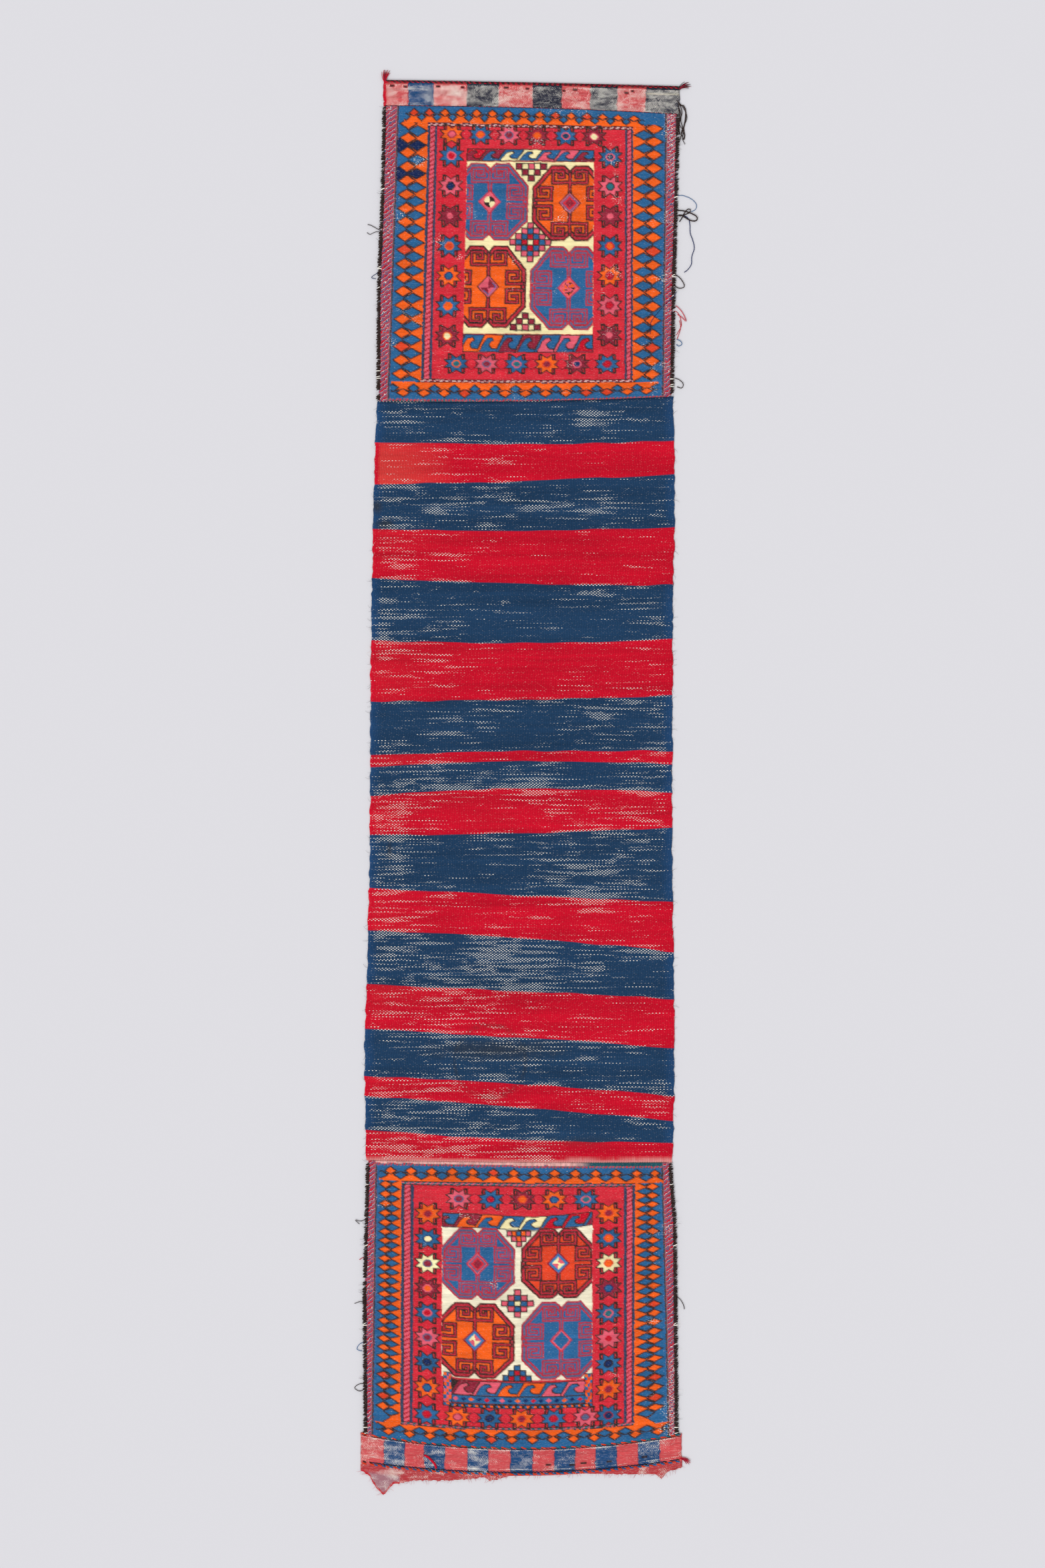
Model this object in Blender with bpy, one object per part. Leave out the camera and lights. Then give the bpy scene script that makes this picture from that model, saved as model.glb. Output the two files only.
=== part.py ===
"""A soumak saddle bag with its side seams unpicked, opened out flat.

One long woollen cloth carries everything: a slit closure band of coloured blocks at each end, a
patterned soumak face beside each band, and striped weft-faced cloth between the two faces. The
cloth lies on its back in the XY plane, with its upper end towards +Y. Drawing sizes are in
millimetres, and the meshes are in metres.
"""

import bisect
import math

import bmesh
import bpy
from mathutils import Vector
from mathutils.geometry import delaunay_2d_cdt

MM = 0.001

# Thickness of the cloth in its different weaves
PLAIN_THICK = 2.0
RIB_HEIGHT = 0.7
FACE_THICK = 3.2
MOTIF_RISE = 0.6
BAND_THICK = 2.2
EDGE_THICK = 1.5
TWINE_RISE = 0.8
FACE_BEVEL = 1.2

# Ribs of warp in the striped cloth, and how far the side whipping stands out from a face
RIB_COUNT = 22
WHIPPING_WIDTH = 5.2
WHIPPING_PITCH = 22.0
BEAD_WAIST = 0.72
BEAD_ROUND = 1.0
BEAD_SHOULDER = 0.9
SEAT = 0.3

# Lengths along the warp, measured on the centre line
TWINING = 6.0
UPPER_BAND = 35.0
UPPER_LEAD = 2.0
UPPER_TAIL = 3.0
LOWER_LEAD = 8.0
LOWER_TAIL = 4.0
LOWER_BAND = 38.0
HEM_SHORT = 1.5

# The striped cloth from the upper face down: yarn, length, and how far the lower edge of the
# stripe hangs below the centre line's level at the left side and at the right side
STRIPES = (
    ("blue", 69, -4, -6),
    ("red", 59, 4, -12),
    ("blue", 79, -4, -6),
    ("red", 85, -9, 2),
    ("blue", 95, -4, -6),
    ("red", 91, 2, -7),
    ("blue", 82, 6, 0),
    ("red", 16, 9, 5),
    ("blue", 44, 11, 7),
    ("red", 71, 2, -9),
    ("blue", 100, -12, 10),
    ("red", 68, -12, 22),
    ("blue", 85, -11, 12),
    ("red", 75, -14, 15),
    ("blue", 74, -12, 18),
    ("red", 37, -17, 21),
    ("blue", 51, -14, 5),
    ("red", 37, -3, 0),
)

# Side edges of the cloth: share of its length from the upper end, distance from the centre line
LEFT_EDGE = (
    (0.0, 223.5), (0.079, 227), (0.146, 233), (0.228, 234), (0.288, 239), (0.405, 244),
    (0.542, 245), (0.637, 250), (0.69, 254), (0.75, 253), (0.78, 251), (0.87, 256), (1.0, 254),
)
RIGHT_EDGE = (
    (0.0, 251), (0.079, 247), (0.146, 243), (0.228, 240), (0.288, 243), (0.405, 239),
    (0.542, 238), (0.637, 240.5), (0.69, 242), (0.75, 240.5), (0.78, 238), (0.82, 245), (1.0, 248),
)
LOWER_BAND_FLARE = 6.0
HALF_WIDTH = 240.0
EDGE_STEP = 4.0
ROW_STEP = 60.0

# Blocks of the two closure bands, from the left side, as shares of the band's width
UPPER_BLOCKS = (0.084, 0.17, 0.282, 0.389, 0.504, 0.603, 0.699, 0.79, 0.886)
LOWER_BLOCKS = (
    0.073, 0.137, 0.198, 0.262, 0.332, 0.398, 0.467, 0.536, 0.603, 0.669, 0.732, 0.798, 0.864, 0.932,
)

# The torn hem past the lower band: share of the width, how far it hangs below the twining
HEM = (
    (0.0, 10), (0.03, 19), (0.04, 30), (0.07, 46), (0.1, 27), (0.16, 17), (0.25, 13), (0.34, 8),
    (0.385, 4), (0.4, 10), (0.43, 7), (0.46, 1.5), (0.7, 1.5), (0.78, 6), (0.86, 10), (0.92, 14),
    (0.935, 22), (0.955, 13), (1.0, 9),
)

# Star motif and the small figures of the faces
STAR_RADIUS = 18.0
STAR_WAIST = 0.64
STAR_HEART = 5.5
BAND_OF_HOOK = 4.6
LOZENGE_FILL = 0.94
LOZENGE_REACH = 0.84
LOZENGE_GAP = 0.6
ROW_MARGIN = 20.0
ROW_LOZENGE_WIDE = 0.84
ROW_LOZENGE_HIGH = 0.62
GUARD_CORE = (0.3, 0.7)
BLOCK_MARGIN = 5.0
RIM_STEPS = 8
# A leaning hook of the running-dog bands, as shares of its step and of the band's height
DOG_HOOK = ((0.03, 0.92), (0.55, 0.1), (0.93, 0.1), (0.93, 0.55), (0.66, 0.55), (0.4, 0.92))

# A tuft at a corner: widths along it, and its cross section as (sideways, height) shares
TUFT_WIDTHS = ((0.0, 0.45), (0.4, 1.0), (0.8, 0.8), (1.0, 0.25))
TUFT_SECTION = ((-1, 0.35), (-0.6, 0.0), (0.6, 0.0), (1, 0.35), (0.5, 1.0), (-0.5, 0.85))

YARNS = {
    "red": (0.53, 0.02, 0.03, 1),
    "faded_red": (0.6, 0.09, 0.09, 1),
    "blue": (0.015, 0.07, 0.2, 1),
    "sky": (0.03, 0.19, 0.42, 1),
    "navy": (0.02, 0.03, 0.1, 1),
    "orange": (0.88, 0.12, 0.02, 1),
    "pink": (0.75, 0.12, 0.16, 1),
    "maroon": (0.23, 0.02, 0.04, 1),
    "cream": (0.9, 0.79, 0.5, 1),
    "dark": (0.05, 0.025, 0.02, 1),
    "grey": (0.3, 0.25, 0.32, 1),
}

# Outline of a double-lobed medallion, right half, as shares of its half width and half height
MEDALLION = (
    (0.0, -0.87), (0.14, -1.0), (0.5, -1.0), (1.0, -0.42), (1.0, 0.5), (0.5, 1.0), (0.14, 1.0),
    (0.0, 0.87),
)
# The squared spirals of a medallion: beside its stem, and on its side frame
STEM_HOOK = ((4, -32), (27, -32), (27, -52), (9, -52), (9, -42), (17, -42))
SIDE_HOOK = ((-2, -5), (-26, -5), (-26, -26), (-9, -26), (-9, -15), (-17, -15))
FRAME_BAND = 6.5
HEART_RIM = 21.0
HEART = 9.0
STEM_END = 0.8

# The two faces. Columns from the left: lozenges, guard, stars, field, stars, guard, lozenges. Rows from
# the upper end: lozenges, guard, stars, field, stars, guard, lozenges. Lean and tilt skew the columns
# and rows to the cloth's own shape. Stars: first place across and down, step across and down, yarns.
# Medallions: ground yarn, line yarn, place across and down, half width, half height.
UPPER = {
    "left": -206.5,
    "columns": (48.5, 16, 49.3, 204.7, 50.7, 12.8, 49.1),
    "lean": (8, 6.4, 5.3, 5.1, 2, 0.5, 0.5, 2.7),
    "rows": (24.5, 5.4, 54.4, 275.3, 73.6, 5.3, 25.6),
    "tilt": ((-3, 13), (-4, 5), (-4, 6), (-1, 2), (-2, 1), (-4, -3), (-4, -3), (-2, -7)),
    "lozenge_pitch": 22.2,
    "lozenge_first": 26.5,
    "lozenge_count": 19,
    "row_pitch": 25.6,
    "stars": {
        "left": (88.0, 75.4, 0, 48.1, ("sky", "pink", "maroon", "sky", "orange", "sky", "maroon")),
        "right": (345.0, 75.4, 0, 47.6, ("sky", "pink", "maroon", "sky", "orange", "pink", "maroon")),
        "top": (88.3, 42.0, 46, 0, ("orange", "sky", "pink", "maroon", "sky", "maroon")),
        "bottom": (103.5, 408.0, 47.7, 0, ("sky", "pink", "sky", "orange", "maroon", "sky")),
    },
    "hooks": ((114, 62, 318, 82, 6), (114, 362, 318, 388, 6)),
    "medallions": (("sky", "maroon", 150.7, 148, 59.5, 62), ("orange", "dark", 279.5, 150, 59.5, 60.5),
                   ("orange", "dark", 152, 284.5, 59.5, 66), ("sky", "maroon", 279.3, 286, 60.5, 67)),
    "checks": ((217.6, 213, 9.6, (1, 3, 5, 7, 5, 3, 1)), (217.6, 101, 9.2, (5, 3, 1)),
               (211.5, 340, 9.2, (1, 3, 5))),
}
LOWER = {
    "left": -236.9,
    "columns": (41.1, 19.7, 46.1, 240.4, 50.7, 17.1, 40.5),
    "lean": (3.2, 0.5, 1.1, 1.3, 0.5, 0, 1, -5.3),
    "rows": (24.5, 6.4, 63, 246.5, 75.7, 4.8, 23),
    "tilt": ((-5, 1), (-5, -1), (-5, -1), (-5, -7), (-24, -22), (-17, -17), (-16, -16), (-18, -18)),
    "lozenge_pitch": 15.26,
    "lozenge_first": 31.0,
    "lozenge_count": 25,
    "row_pitch": 32.6,
    "stars": {
        "left": (83.7, 70, 0, 39.9,
                 ("orange", "sky", "cream", "maroon", "sky", "pink", "sky", "orange", "sky")),
        "right": (373.5, 68, 0, 40.6,
                  ("orange", "sky", "cream", "maroon", "sky", "pink", "sky", "orange", "sky")),
        "top": (133, 49.6, 51, 0, ("pink", "sky", "maroon", "orange", "sky")),
        "bottom": (133, 397, 51, 0, ("orange", "sky", "orange", "sky", "pink")),
    },
    "hooks": ((108, 71, 346, 91, 7), (118, 343, 336, 364, 6)),
    "medallions": (("sky", "maroon", 163.5, 152, 60, 56.5), ("orange", "dark", 293, 150, 60, 55),
                   ("orange", "dark", 158.4, 274, 60, 61), ("sky", "maroon", 298.8, 274.5, 61, 62.5)),
    "checks": ((227.7, 214, 8.9, (1, 3, 5, 3, 1)), (229.5, 111, 8.6, (5, 3, 1)),
               (227.7, 326, 8.6, (1, 3, 5))),
}

# Tufts at the corners: name, yarn, corner, root's offset from it as (right, down), reach, spread, height
CORNER_TUFTS = (
    ("corner_tuft_upper_left", "red", "top_left", (3, -0.9), (-2, -11), 3.6, 3.4),
    ("corner_tuft_upper_right", "dark", "top_right", (1.5, 4), (8, -9), 4.2, 4),
    ("corner_tuft_lower_right", "red", "low_right", (1.4, -6), (7, 5), 4.5, 3.4),
)

# Ends of seam yarn that lie beside the right side: name, thickness, yarn, how far below the upper end
# each leaves the edge, and its route from there as (outward, down)
SEAM_YARNS = (
    ("seam_yarn_upper_bundle", 2.0, "dark", 37,
     ((0, 0), (6.5, 0.3), (9.5, 8), (9.5, 18), (8, 29), (6, 38), (8, 47), (7, 54))),
    ("seam_yarn_pale_loop", 0.9, "sky", 181,
     ((0, 0), (2, 0), (9, 0), (18, 3), (26, 8), (31, 15), (29.5, 22), (22.5, 26))),
    ("seam_yarn_long", 1.2, "blue", 213,
     ((0, 0), (3, 0), (11, 0), (19, 5), (21.5, 15), (22, 28), (26.5, 41), (28.5, 53), (24.5, 66),
      (24, 78), (18, 87), (12.5, 91))),
    ("seam_yarn_red", 0.9, "red", 366,
     ((0, 0), (2, 0), (4.5, 1), (8.5, 6), (11, 14), (12, 23), (8, 31), (4, 38))),
)


def between(table, share):
    """Straight-line value of a (share, value) table."""
    shares = [row[0] for row in table]
    i = min(max(bisect.bisect_right(shares, share), 1), len(table) - 1)
    (a, low), (b, high) = table[i - 1], table[i]
    t = min(max((share - a) / (b - a), 0), 1)
    return low + (high - low) * t


def level(line, x):
    """Distance from the upper end of a cross line (centre, left, right) at a place across the cloth."""
    centre, left, right = line
    u = x / HALF_WIDTH
    return centre + left * u * (u - 1) / 2 + right * u * (u + 1) / 2


def face_length(face):
    """Length of a soumak face along the warp."""
    return sum(face["rows"])


# Where each weave begins, from the upper end
UPPER_BAND_TOP = TWINING
UPPER_FACE_TOP = UPPER_BAND_TOP + UPPER_BAND
UPPER_FRAME_TOP = UPPER_FACE_TOP + UPPER_LEAD
UPPER_FACE_END = UPPER_FRAME_TOP + face_length(UPPER) + UPPER_TAIL
LOWER_FACE_TOP = UPPER_FACE_END + sum(stripe[1] for stripe in STRIPES)
LOWER_FRAME_TOP = LOWER_FACE_TOP + LOWER_LEAD
LOWER_FACE_END = LOWER_FRAME_TOP + face_length(LOWER) + LOWER_TAIL
LOWER_BAND_END = LOWER_FACE_END + LOWER_BAND
TWINING_END = LOWER_BAND_END + TWINING
LENGTH = TWINING_END + HEM_SHORT

TOP_LINE = (0, -4, 6)
UPPER_BAND_LINE = (UPPER_BAND_TOP, -4, 6)
UPPER_FACE_LINE = (UPPER_FACE_TOP, -3, 10)
UPPER_END_LINE = (UPPER_FACE_END, 0, -7.5)
LOWER_FACE_LINE = (LOWER_FACE_TOP, -3, 0)
LOWER_END_LINE = (LOWER_FACE_END, -20, -20)
LOWER_BAND_LINE = (LOWER_BAND_END, -19, -20)
TWINING_LINE = (TWINING_END, -15, -19)


def side(edge, d):
    """Distance of a side edge from the centre line at a distance from the upper end."""
    return between(edge, d / LENGTH)


class Chart:
    """The flat drawing of the cloth: spots with a height, lines, and fields of one yarn."""

    def __init__(self):
        self.spots = []
        self.heights = []
        self.index = {}
        self.lines = []
        self.fields = []
        self.yarns = []

    def spot(self, x, d, height):
        """A place x across and d from the upper end, at a height above the ground."""
        key = (round(x, 2), round(d, 2))
        if key not in self.index:
            self.index[key] = len(self.spots)
            self.spots.append(Vector((x, -d)))
            self.heights.append(height)
        return self.index[key]

    def line(self, places, height, closed=False):
        """A fold or crest of the surface through several places."""
        ids = [self.spot(x, d, height) for x, d in places]
        self.lines += zip(ids, ids[1:] + ids[:1] if closed else ids[1:])
        return ids

    def field(self, places, yarn, height):
        """A closed area of one yarn, over what was drawn before it."""
        ids = [self.spot(x, d, height) for x, d in places]
        clean = [v for i, v in enumerate(ids) if v != ids[i - 1]]
        corners = [self.spots[v] for v in clean]
        turn = sum(a.cross(b) for a, b in zip(corners, corners[1:] + corners[:1]))
        self.fields.append(clean if turn > 0 else clean[::-1])
        self.yarns.append(yarn)

    def surface(self):
        """Triangles of the whole drawing, with a height for each corner and a yarn for each triangle."""
        spots, _, triangles, old_spots, _, old_fields = delaunay_2d_cdt(
            self.spots, self.lines, self.fields, 1, 1e-4)
        heights = [max((self.heights[i] for i in old), default=None) for old in old_spots]
        yarns = [self.yarns[max(old)] if old else None for old in old_fields]
        return spots, heights, triangles, yarns


def end_x(line, sign, inset=0.0):
    """Where a cross line ends, at the cloth's left edge (-1) or right edge (1)."""
    edge = RIGHT_EDGE if sign > 0 else LEFT_EDGE
    return sign * (side(edge, level(line, sign * HALF_WIDTH)) - inset)


def across_line(line, shares, inset=0.0):
    """Places along a cross line at given shares of the cloth's width."""
    x_left, x_right = end_x(line, -1, inset), end_x(line, 1, inset)
    xs = [x_left + (x_right - x_left) * share for share in shares]
    return [(x, level(line, x)) for x in xs]


def rib_places(line):
    """Places along a cross line, one at each rib crest and each groove between ribs."""
    steps = 2 * RIB_COUNT
    return across_line(line, [i / steps for i in range(steps + 1)])


def rib_height(i):
    """Height of the cloth at the i-th place across: edge, crest or groove."""
    if i in (0, 2 * RIB_COUNT):
        return EDGE_THICK
    return PLAIN_THICK + (RIB_HEIGHT if i % 2 else 0)


def stripe_lines():
    """The cross lines between stripes, with the ends of the two faces first and last."""
    lines = [UPPER_END_LINE]
    for _, length, left, right in STRIPES:
        lines.append((lines[-1][0] + length, left, right))
    return lines


def draw_stripes(chart):
    """The weft-faced stripes, ribbed along the warp."""
    rows = [rib_places(line) for line in stripe_lines()]
    for (yarn, *_), upper, lower in zip(STRIPES, rows, rows[1:]):
        for row in (upper, lower):
            for i, (x, d) in enumerate(row):
                chart.spot(x, d, rib_height(i))
        chart.field(upper + lower[::-1], yarn, PLAIN_THICK)
        for i, (start, end) in enumerate(zip(upper, lower)):
            chart.line((start, end), rib_height(i))


def draw_band(chart, lines, blocks, yarns, flare=0.0):
    """A closure band: blocks of two yarns side by side, each a little raised along its middle."""
    shares = (0.0, *blocks, 1.0)
    tops, ends = (across_line(line, shares, -flare) for line in lines)
    middles = [(a + b) / 2 for a, b in zip(shares, shares[1:])]
    top_middles, end_middles = (across_line(line, middles, -flare) for line in lines)
    for i in range(len(middles)):
        chart.field((tops[i], tops[i + 1], ends[i + 1], ends[i]), yarns[i % len(yarns)], BAND_THICK)
        crest = ((top_middles[i][0], top_middles[i][1] + BLOCK_MARGIN),
                 (end_middles[i][0], end_middles[i][1] - BLOCK_MARGIN))
        chart.line(crest, BAND_THICK + RIB_HEIGHT)


def draw_twining(chart, lines, blocks, yarn, flare=0.0):
    """A raised row of two-coloured twining across the cloth."""
    shares = (0.0, *blocks, 1.0)
    upper, lower = (across_line(line, shares, -flare) for line in lines)
    chart.field(upper + lower[::-1], yarn, BAND_THICK)
    crest = [((a[0] + b[0]) / 2, (a[1] + b[1]) / 2) for a, b in zip(upper[1:-1], lower[1:-1])]
    chart.line(crest, BAND_THICK + TWINE_RISE)


class Face:
    """A soumak face: it turns its own straight drawing into places on the slightly skewed cloth."""

    def __init__(self, sizes, frame_top):
        self.sizes = sizes
        self.frame_top = frame_top
        self.across = [0.0]
        for width in sizes["columns"]:
            self.across.append(self.across[-1] + width)
        self.along = [0.0]
        for length in sizes["rows"]:
            self.along.append(self.along[-1] + length)
        self.width = self.across[-1]
        self.length = self.along[-1]

    def place(self, p, q):
        """Place on the cloth of the drawing's point p across and q down."""
        lean = between(list(zip(self.across, self.sizes["lean"])), p)
        x = self.sizes["left"] + p + lean * (1 - 2 * q / self.length)
        left = between([(a, tilt[0]) for a, tilt in zip(self.along, self.sizes["tilt"])], q)
        right = between([(a, tilt[1]) for a, tilt in zip(self.along, self.sizes["tilt"])], q)
        return x, level((self.frame_top + q, left, right), x)

    def area(self, chart, points, yarn, height=FACE_THICK):
        """A field of yarn on the face."""
        chart.field([self.place(p, q) for p, q in points], yarn, height)

    def box(self, chart, p0, q0, p1, q1, yarn):
        """A rectangle on the face, whose long rows follow the sag of the wefts."""
        steps = max(round(abs(p1 - p0) / ROW_STEP), 1)
        ps = [p0 + (p1 - p0) * i / steps for i in range(steps + 1)]
        self.area(chart, [(p, q0) for p in ps] + [(p, q1) for p in ps[::-1]], yarn)


def draw_lozenges(chart, face):
    """The border of lozenges: orange ones on blue outside, blue ones on orange inside."""
    sizes = face.sizes
    pitch = sizes["lozenge_pitch"]
    half = pitch * LOZENGE_FILL / 2
    for outer, inner in ((0.0, face.across[1]), (face.width, face.across[-2])):
        sign = 1 if inner > outer else -1
        axis = (outer + inner) / 2
        face.box(chart, axis, face.along[1], inner, face.along[-2], "orange")
        reach = abs(inner - outer) / 2 * LOZENGE_REACH
        for i in range(sizes["lozenge_count"]):
            q = sizes["lozenge_first"] + pitch * i
            tips = [(axis - sign * LOZENGE_GAP, q), (axis - sign * reach / 2, q - half),
                    (axis - sign * reach, q), (axis - sign * reach / 2, q + half)]
            face.area(chart, tips, "orange")
            q += pitch / 2
            if i < sizes["lozenge_count"] - 1:
                tips = [(axis + sign * LOZENGE_GAP, q), (axis + sign * reach / 2, q - half),
                        (axis + sign * reach, q), (axis + sign * reach / 2, q + half)]
                face.area(chart, tips, "sky")


def draw_row_lozenges(chart, face):
    """The rows of lozenges along the upper and lower ends of the frame."""
    pitch = face.sizes["row_pitch"]
    count = int((face.width - 2 * ROW_MARGIN) / pitch)
    start = (face.width - pitch * (count - 1)) / 2
    wide = pitch / 2 * ROW_LOZENGE_WIDE
    for top, end in ((0.0, face.along[1]), (face.along[-2], face.length)):
        middle = (top + end) / 2
        half = (end - top) / 2 * ROW_LOZENGE_HIGH
        for i in range(count):
            p = start + pitch * i
            tips = [(p - wide, middle), (p, middle - half), (p + wide, middle), (p, middle + half)]
            face.area(chart, tips, "orange")


def draw_star(chart, face, p, q, yarn):
    """An eight-pointed star with a raised heart."""
    points = []
    for i in range(16):
        turn = math.pi * i / 8 + math.pi / 8
        radius = STAR_RADIUS * (1 if i % 2 == 0 else STAR_WAIST)
        points.append((p + radius * math.cos(turn), q + radius * math.sin(turn)))
    face.area(chart, points, yarn)
    heart = [(p, q - STAR_HEART), (p + STAR_HEART, q), (p, q + STAR_HEART), (p - STAR_HEART, q)]
    face.area(chart, heart, "maroon" if yarn in ("pink", "orange", "cream") else "pink",
              FACE_THICK + MOTIF_RISE)


def draw_stars(chart, face):
    """The border of stars on all four sides of the field."""
    for p, q, step_p, step_q, yarns in face.sizes["stars"].values():
        for i, yarn in enumerate(yarns):
            draw_star(chart, face, p + step_p * i, q + step_q * i, yarn)


def ribbon(points, width):
    """Outline of a flat band with square corners along a route of right-angled turns."""
    half = width / 2
    lefts, rights = [], []
    for i, (x, y) in enumerate(points):
        before = points[max(i - 1, 0)]
        after = points[min(i + 1, len(points) - 1)]
        ahead = [(x - before[0], y - before[1]), (after[0] - x, after[1] - y)]
        normals = []
        for dx, dy in ahead:
            size = math.hypot(dx, dy)
            if size > 0:
                normals.append((-dy / size, dx / size))
        nx = normals[0][0] + (normals[1][0] if len(normals) > 1 else 0)
        ny = normals[0][1] + (normals[1][1] if len(normals) > 1 else 0)
        lefts.append((x + nx * half, y + ny * half))
        rights.append((x - nx * half, y - ny * half))
    return lefts + rights[::-1]


def cut_at(points, limit, sign):
    """The part of a closed outline that lies on one side of an upright line."""
    kept = []
    for (x0, y0), (x1, y1) in zip(points, points[1:] + points[:1]):
        before, after = sign * (x0 - limit), sign * (x1 - limit)
        if before >= 0:
            kept.append((x0, y0))
        if before * after < 0:
            share = before / (before - after)
            kept.append((limit, y0 + (y1 - y0) * share))
    return kept


def draw_medallion(chart, face, ground, line, p, q, wide, high):
    """A double-lobed medallion with a raised frame, a stem, a heart and squared spirals.

    The field's side edges cut off what reaches past them.
    """
    right = [(a * wide, b * high) for a, b in MEDALLION]
    outline = right + [(-a, b) for a, b in right[-2:0:-1]]

    def shape(points, yarn):
        placed = [(p + a, q + b) for a, b in points]
        placed = cut_at(cut_at(placed, face.across[3], 1), face.across[4], -1)
        if len(placed) > 2:
            face.area(chart, placed, yarn)

    def inward(distance):
        return [(a * (1 - distance / wide), b * (1 - distance / high)) for a, b in outline]

    shape(outline, line)
    shape(inward(FRAME_BAND), ground)
    for half, sign in ((outline[:len(right)], 1), (outline[len(right) - 1:] + outline[:1], -1)):
        crest = [(p + a * (1 - FRAME_BAND / 2 / wide), q + b * (1 - FRAME_BAND / 2 / high)) for a, b in half]
        crest = [c for c in crest if face.across[3] < c[0] < face.across[4]]
        if len(crest) == len(half):
            chart.line([face.place(*c) for c in crest], FACE_THICK + MOTIF_RISE)
    for turn in (1, -1):
        for flip in (1, -1):
            shape(ribbon([(turn * a, flip * b) for a, b in STEM_HOOK], BAND_OF_HOOK), line)
            beside = [(turn * (wide - FRAME_BAND + a), flip * b) for a, b in SIDE_HOOK]
            shape(ribbon(beside, BAND_OF_HOOK), line)
    for half, yarn, height in ((HEART_RIM, line, FACE_THICK), (HEART, "pink", FACE_THICK + MOTIF_RISE)):
        tips = [(p, q - half), (p + half, q), (p, q + half), (p - half, q)]
        face.area(chart, tips, yarn, height)
    for top, end in ((-high * STEM_END, -HEART_RIM - 2), (HEART_RIM + 2, high * STEM_END)):
        face.box(chart, p - BAND_OF_HOOK / 2, q + top, p + BAND_OF_HOOK / 2, q + end, line)


def draw_checks(chart, face, p, q, size, rows):
    """A stepped figure of small checks, two yarns in turn."""
    for j, count in enumerate(rows):
        top = q + (j - len(rows) / 2) * size
        for i in range(count):
            left = p + (i - count / 2) * size
            yarn = ("maroon", "sky", "pink")[(i + j) % 3]
            face.box(chart, left, top, left + size, top + size, yarn)


def draw_hooks(chart, face, p0, q0, p1, q1, count):
    """A running-dog band: leaning hooks of two yarns in turn."""
    step = (p1 - p0) / count
    high = q1 - q0
    face.box(chart, p0, q0, p1, q1, "maroon")
    for i in range(count):
        left = p0 + step * i
        hook = [(left + step * a, q0 + high * b) for a, b in DOG_HOOK]
        face.area(chart, hook, ("sky", "orange", "cream", "pink")[i % 4])


def draw_face(chart, sizes, frame_top, top_line, end_line):
    """One soumak face, from its side edges to the figures in its field."""
    face = Face(sizes, frame_top)
    across, along = face.across, face.along
    right = side_places(1, (top_line, end_line), WHIPPING_WIDTH + SEAT)
    left = side_places(-1, (top_line, end_line), WHIPPING_WIDTH + SEAT)
    chart.field(right + left[::-1], "grey", BAND_THICK)
    inset = WHIPPING_WIDTH + SEAT + FACE_BEVEL
    inner_top = (top_line[0] + FACE_BEVEL, *top_line[1:])
    inner_end = (end_line[0] - FACE_BEVEL, *end_line[1:])
    shares = [i / RIM_STEPS for i in range(RIM_STEPS + 1)]
    rim = across_line(inner_top, shares, inset) + side_places(1, (inner_top, inner_end), inset)[1:-1]
    rim += across_line(inner_end, shares, inset)[::-1]
    rim += side_places(-1, (inner_top, inner_end), inset)[-2:0:-1]
    chart.field(rim, "grey", FACE_THICK)
    face.box(chart, 0, 0, face.width, face.length, "sky")
    face.box(chart, across[1], along[1], across[-2], along[-2], "maroon")
    face.box(chart, across[2], along[2], across[-3], along[-3], "red")
    for start, end in (across[1:3], across[-3:-1]):
        core = [start + (end - start) * share for share in GUARD_CORE]
        face.box(chart, core[0], along[2], core[1], along[-3], "pink")
    face.box(chart, across[3], along[3], across[4], along[4], "cream")
    draw_lozenges(chart, face)
    draw_row_lozenges(chart, face)
    for band in sizes["hooks"]:
        draw_hooks(chart, face, *band)
    for medallion in sizes["medallions"]:
        draw_medallion(chart, face, *medallion)
    for figure in sizes["checks"]:
        draw_checks(chart, face, *figure)
    draw_stars(chart, face)


def side_places(sign, lines, inset=0.0):
    """Outline of one side from the first to the last of some cross lines.

    It has a place at each line's end. Between only two lines it also follows the table of the edge.
    """
    edge = RIGHT_EDGE if sign > 0 else LEFT_EDGE
    places = []
    for line in lines:
        x = end_x(line, sign, inset)
        places.append((x, level(line, x)))
    if len(lines) > 2:
        return places
    (_, start), (_, end) = places
    stops = [share * LENGTH for share, _ in edge]
    inner = [(sign * (side(edge, d) - inset), d) for d in stops if start + EDGE_STEP < d < end - EDGE_STEP]
    return [places[0], *inner, places[1]]


def draw_outline(chart):
    """The whole cloth in one piece, drawn first: the lower end is the torn hem."""
    inset = WHIPPING_WIDTH + SEAT
    top = across_line(TOP_LINE, (0.0, *UPPER_BLOCKS, 1.0))
    hem_line = across_line(TWINING_LINE, [share for share, _ in HEM], -LOWER_BAND_FLARE)
    hem = [(x, d + hang) for (x, d), (_, hang) in zip(hem_line, HEM)]
    outline = list(top)
    sides = []
    for sign in (1, -1):
        edge = side_places(sign, (UPPER_BAND_LINE, UPPER_FACE_LINE))
        edge += side_places(sign, (UPPER_FACE_LINE, UPPER_END_LINE), inset)
        edge += side_places(sign, stripe_lines())
        edge += side_places(sign, (LOWER_FACE_LINE, LOWER_END_LINE), inset)
        edge += side_places(sign, (LOWER_END_LINE, LOWER_BAND_LINE, TWINING_LINE), -LOWER_BAND_FLARE)
        sides.append(edge)
    outline += sides[0] + hem[::-1] + sides[1][::-1]
    chart.field(outline, "faded_red", EDGE_THICK)


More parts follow.
